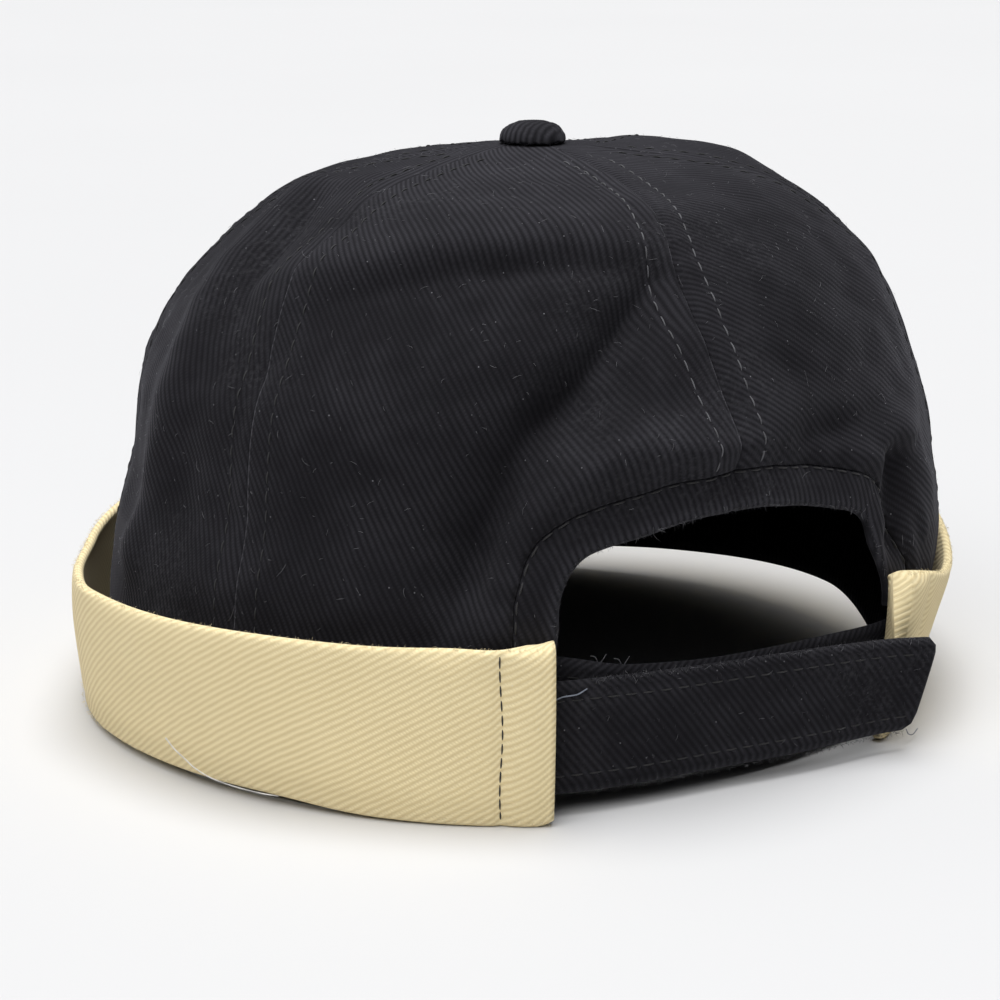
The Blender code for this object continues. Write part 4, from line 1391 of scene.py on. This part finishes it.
class CAP_OT_lint(Operator):
    """Loose fibres on the cloth, fuzz along its edges and stray threads"""

    bl_idname = "cap.lint"
    bl_label = "Lint and Threads"

    def execute(self, context):
        form = CrownForm()
        self.crown_lint(form)
        self.cuff_fuzz(form, stitching().fuzz_count)
        self.black_fuzz(form, stitching().fuzz_count // 2)
        self.stray_threads(form)
        return {"FINISHED"}

    def fibres(self, form, name, starts, lengths, lift, radius, material, seed):
        """Curled fibres from starts, which are points and normals. They lie along the cloth
        or stand off it."""
        points, normals = starts
        chance = np.random.default_rng(seed)
        count = len(points)
        side = unit(np.cross(normals, chance.normal(size=(count, 3))))
        turn = np.cross(normals, side)
        t = np.linspace(0, 1, len(FIBRE_TAPER))[None, :, None]
        curl = chance.normal(0, 0.45, size=(count, 1, 1))
        along = side[:, None, :] * t + turn[:, None, :] * curl * t**2
        rise = normals[:, None, :] * (lift[:, None, None] * np.sin(t * 2.4) + radius)
        paths = points[:, None, :] + along * lengths[:, None, None] + rise
        shape = np.broadcast_to(normals[:, None, :], paths.shape)
        radii = radius * np.array(FIBRE_TAPER)
        made, faces = tubes(paths, radii, shape, 3)
        mesh_piece(form, name, made, faces, material)

    def crown_lint(self, form):
        chance = np.random.default_rng(21)
        count = stitching().lint_count
        azimuth = chance.uniform(0, 360, count)
        run = chance.uniform(0.14, 0.96, count) ** 0.9
        points, normals = crown_line(form, azimuth, run)
        spread, _ = form.arch_spread(points)
        kept = (points[:, 1] < 0) | (spread > 0.001)
        starts = points[kept], normals[kept]
        lengths = chance.gamma(1.6, 0.00045, len(starts[0])) + 0.0003
        lift = chance.uniform(0.0, 0.0004, len(starts[0]))
        self.fibres(form, "crown_lint", starts, lengths, lift, radius=0.000024, material="lint", seed=22)

    def cuff_fuzz(self, form, count):
        """Fuzz along the cuff's top fold and, more thinly, along its bottom fold."""
        chance = np.random.default_rng(31)
        azimuth = chance.uniform(form.size.cuff_left_end, form.size.cuff_right_end, count)
        points, normals = [], []
        for angle in azimuth:
            low = chance.random() < 0.3
            z = float(form.lift(angle)) + 0.0012 if low else form.cuff_top(angle) - 0.0003
            inset = 0.0 if low else 0.0012 * chance.random() + 0.0004
            radius = float(form.cuff_outer_radius(angle, z)) - inset
            point = np.array(on_azimuth(angle, radius, z))
            tilt = np.array((0, 0, -0.6 if low else 1.6))
            points.append(point)
            normals.append(unit(outward(point) + tilt + chance.normal(0, 0.3, 3)))
        starts = np.array(points), np.array(normals)
        lengths = chance.uniform(0.0003, 0.0009, count)
        lift = chance.uniform(0.0001, 0.0006, count)
        self.fibres(form, "cuff_fuzz", starts, lengths, lift, radius=0.000028, material="cream_fuzz", seed=32)

    def black_fuzz(self, form, count):
        """Fuzz and pale lint along the outer strap's edges and the arch."""
        chance = np.random.default_rng(41)
        points, normals = [], []
        centre, normal, _, _ = strap_sheet(form, "strap_outer")
        top = STRAP_LEVELS - 1
        for _ in range(count):
            station = chance.integers(40, STRAP_STATIONS - 1)
            level = int(chance.choice((0, top, top, chance.integers(0, STRAP_LEVELS))))
            face = normal[station, level]
            points.append(centre[station, level] + face * form.size.strap_cloth * 0.45)
            normals.append(unit(face + chance.normal(0, 0.5, 3)))
        line = form.smooth_arch(0.0004, 400)
        azimuth, run = form.place(line[:, 0], line[:, 1])
        edge, edge_normal = form.surface(azimuth, run, 0.0004), form.base_normal(azimuth, run)
        for station in chance.integers(0, 400, count // 2):
            points.append(edge[station])
            normals.append(unit(edge_normal[station] + chance.normal(0, 0.5, 3)))
        points, normals = np.array(points), np.array(normals)
        lengths = chance.uniform(0.0003, 0.0010, len(points))
        lift = chance.uniform(0.0, 0.0003, len(points))
        pale = chance.random(len(points)) < 0.12
        for name, kept, stretch, radius, material, seed in (
            ("strap_lint", pale, 1.6, 0.000022, "lint", 42),
            ("strap_fuzz", ~pale, 1.0, 0.000030, "black_fuzz", 43),
        ):
            starts = points[kept], normals[kept]
            self.fibres(form, name, starts, lengths[kept] * stretch, lift[kept], radius, material, seed)

    def thread(self, form, name, path, normals, radius, material):
        """A round thread along a smooth path through a few points."""
        length = lengths_along(path)
        steps = np.linspace(0, length[-1], 40)
        line = smooth_path(steps, length, path)
        up = unit(read_path(steps, length, normals))
        points, faces = tubes(line[None], radius, up[None], 6)
        mesh_piece(form, name, points, faces, material)

    def stray_threads(self, form):
        """White thread on the cuff, threads and tufts on the straps, one under the strap's end."""
        path = [on_azimuth(a, float(form.cuff_outer_radius(a, z)) + 0.0006, z) for a, z in CUFF_THREAD]
        path = np.array(path)
        self.thread(form, "cuff_thread", path, outward(path), 0.00013, "white_thread")
        self.strap_thread(form, "strap_thread", STRAP_THREAD, above=0.0012, radius=0.00015)
        self.strap_thread(form, "strap_end_thread", STRAP_END_THREAD, above=-0.0018, radius=0.00010)
        edge = strap_sheet(form, "strap_inner")[0][:, -1]
        turn = np.degrees(np.arctan2(edge[:, 0], edge[:, 1]))
        for number, azimuth in enumerate(TUFT_AZIMUTHS):
            foot = edge[np.argmin(np.abs(turn - azimuth))]
            lean = np.array((0.0007 * (-1) ** number, 0.0002, 0.0011))
            path = np.array([foot, foot + lean, foot + lean * 2 + np.array((0.0005, 0, -0.0006))])
            normals = np.tile((0.0, 1.0, 0.0), (3, 1))
            self.thread(form, f"strap_tuft_{number}", path, normals, 0.00008, "grey_thread")

    def strap_thread(self, form, name, rows, above, radius):
        """A thread over the outer strap through rows of azimuth and height."""
        centre, _, _, _ = strap_sheet(form, "strap_outer", levels=61)
        turn = np.arctan2(centre[..., 0], centre[..., 1])
        path, normals = [], []
        for azimuth, z in rows:
            miss = np.hypot((turn - math.radians(azimuth)) * form.top, centre[..., 2] - z)
            nearest = centre[np.unravel_index(np.argmin(miss), miss.shape)]
            path.append(on_azimuth(azimuth, math.hypot(*nearest[:2]) + above, z))
            normals.append(outward(nearest))
        self.thread(form, name, np.array(path), np.array(normals), radius, "blue_grey_thread")


class CAP_OT_stage(Operator):
    """Pale floor, soft studio light and the camera"""

    bl_idname = "cap.stage"
    bl_label = "Stage"

    focal_length: number_setting("Focal length", "Of the camera, in millimetres", 99.0)
    backdrop: number_setting("Backdrop", "Brightness of the backdrop behind the cap", 0.90)
    fill: number_setting("Fill light", "Light from the studio's ceiling", 0.52)
    horizon: number_setting("Low light", "Light from the studio's walls", 0.02)
    overhead: number_setting("Overhead light", "Strength of the softbox overhead", 2.5)
    front: number_setting("Front light", "Strength of the softbox over the camera", 1.6)

    def execute(self, context):
        self.camera(context)
        self.floor(context)
        self.studio(context)
        self.lights(context)
        context.scene.view_settings.view_transform = "Standard"
        return {"FINISHED"}

    def camera(self, context):
        data = bpy.data.cameras.new("photo_camera")
        data.sensor_width = 36.0
        data.lens = self.focal_length
        data.shift_y = 0.003
        data.dof.use_dof = False
        camera = bpy.data.objects.new("photo_camera", data)
        camera.location = Vector(CrownForm().origin) + Vector(CAMERA_PLACE)
        camera.rotation_euler = Vector(CAMERA_SIGHT).to_track_quat("-Z", "Y").to_euler()
        context.scene.collection.objects.link(camera)
        context.scene.camera = camera

    def floor(self, context):
        mesh = bpy.data.meshes.new("pale_floor")
        corners = [(x * FLOOR_HALF, y * FLOOR_HALF, 0) for x, y in ((-1, -1), (1, -1), (1, 1), (-1, 1))]
        mesh.from_pydata(corners, [], [(0, 1, 2, 3)])
        constants = {"Roughness": 0.75, "Specular IOR Level": 0.2}
        material, tree, shader = new_material("pale_floor", constants)
        place = tree.nodes.new("ShaderNodeTexCoord").outputs["Object"]
        change = noise_node(tree, place, scale=3.0)
        colour = mix_colour(tree, change, (0.615, 0.615, 0.62), (0.635, 0.635, 0.64))
        set_inputs(tree, shader, {"Base Color": colour})
        mesh.materials.append(material)
        floor = bpy.data.objects.new("pale_floor", mesh)
        context.scene.collection.objects.link(floor)

    def studio(self, context):
        """A plain backdrop in the camera's sight, and light that comes mostly from the ceiling."""
        world = bpy.data.worlds.new("studio")
        world.use_nodes = True
        tree = world.node_tree
        direction = tree.nodes.new("ShaderNodeTexCoord").outputs["Generated"]
        height = new_node(tree, "ShaderNodeSeparateXYZ", {0: direction}).outputs["Z"]
        steps = {"Value": height, "From Min": 0.30, "From Max": 0.95}
        steps.update({"To Min": self.horizon, "To Max": self.fill})
        strength = new_node(tree, "ShaderNodeMapRange", steps).outputs["Result"]
        seen = tree.nodes.new("ShaderNodeLightPath").outputs["Is Camera Ray"]
        mixed = new_node(tree, "ShaderNodeMix", {0: seen, 2: strength, 3: self.backdrop}).outputs[0]
        set_inputs(tree, tree.nodes["Background"], {"Color": (0.97, 0.98, 1.0), "Strength": mixed})
        context.scene.world = world

    def lights(self, context):
        for name, strength, spread, sight in (
            ("overhead_softbox", self.overhead, 40, (0.06, 0.06, -1.0)),
            ("front_softbox", self.front, 46, (-0.62, -0.45, -1.0)),
        ):
            data = bpy.data.lights.new(name, "SUN")
            data.energy = strength
            data.angle = math.radians(spread)
            light = bpy.data.objects.new(name, data)
            light.rotation_euler = Vector(sight).to_track_quat("-Z", "Y").to_euler()
            context.scene.collection.objects.link(light)


class CAP_PT_sidebar(Panel):
    """Lists the settings and the steps in the sidebar"""

    bl_idname = "CAP_PT_sidebar"
    bl_label = "Docker Cap"
    bl_space_type = "VIEW_3D"
    bl_region_type = "UI"
    bl_category = "Docker Cap"

    def draw(self, context):
        for group in (context.scene.cap_sizes, context.scene.cap_stitching, context.scene.cap_colours):
            box = self.layout.box()
            for name in group.bl_rna.properties.keys():
                if name not in ("rna_type", "name"):
                    box.prop(group, name)
        for operator in STEPS:
            self.layout.operator(operator.bl_idname)


STEPS = (
    CAP_OT_stage,
    CAP_OT_crown,
    CAP_OT_hem,
    CAP_OT_cuff,
    CAP_OT_straps,
    CAP_OT_button,
    CAP_OT_stitches,
    CAP_OT_lint,
)
SETTINGS = (("cap_sizes", CapSizes), ("cap_stitching", CapStitching), ("cap_colours", CapColours))


def register():
    for name, group in SETTINGS:
        bpy.utils.register_class(group)
        setattr(bpy.types.Scene, name, PointerProperty(type=group))
    for each in STEPS + (CAP_PT_sidebar,):
        bpy.utils.register_class(each)


def unregister():
    for each in reversed(STEPS + (CAP_PT_sidebar,)):
        bpy.utils.unregister_class(each)
    for name, group in reversed(SETTINGS):
        delattr(bpy.types.Scene, name)
        bpy.utils.unregister_class(group)


def main():
    register()
    bpy.ops.cap.stage()
    bpy.ops.cap.crown()
    bpy.ops.cap.opening_hem()
    bpy.ops.cap.cuff()
    bpy.ops.cap.straps()
    bpy.ops.cap.button()
    bpy.ops.cap.stitches()
    bpy.ops.cap.lint()


if __name__ == "__main__":
    main()
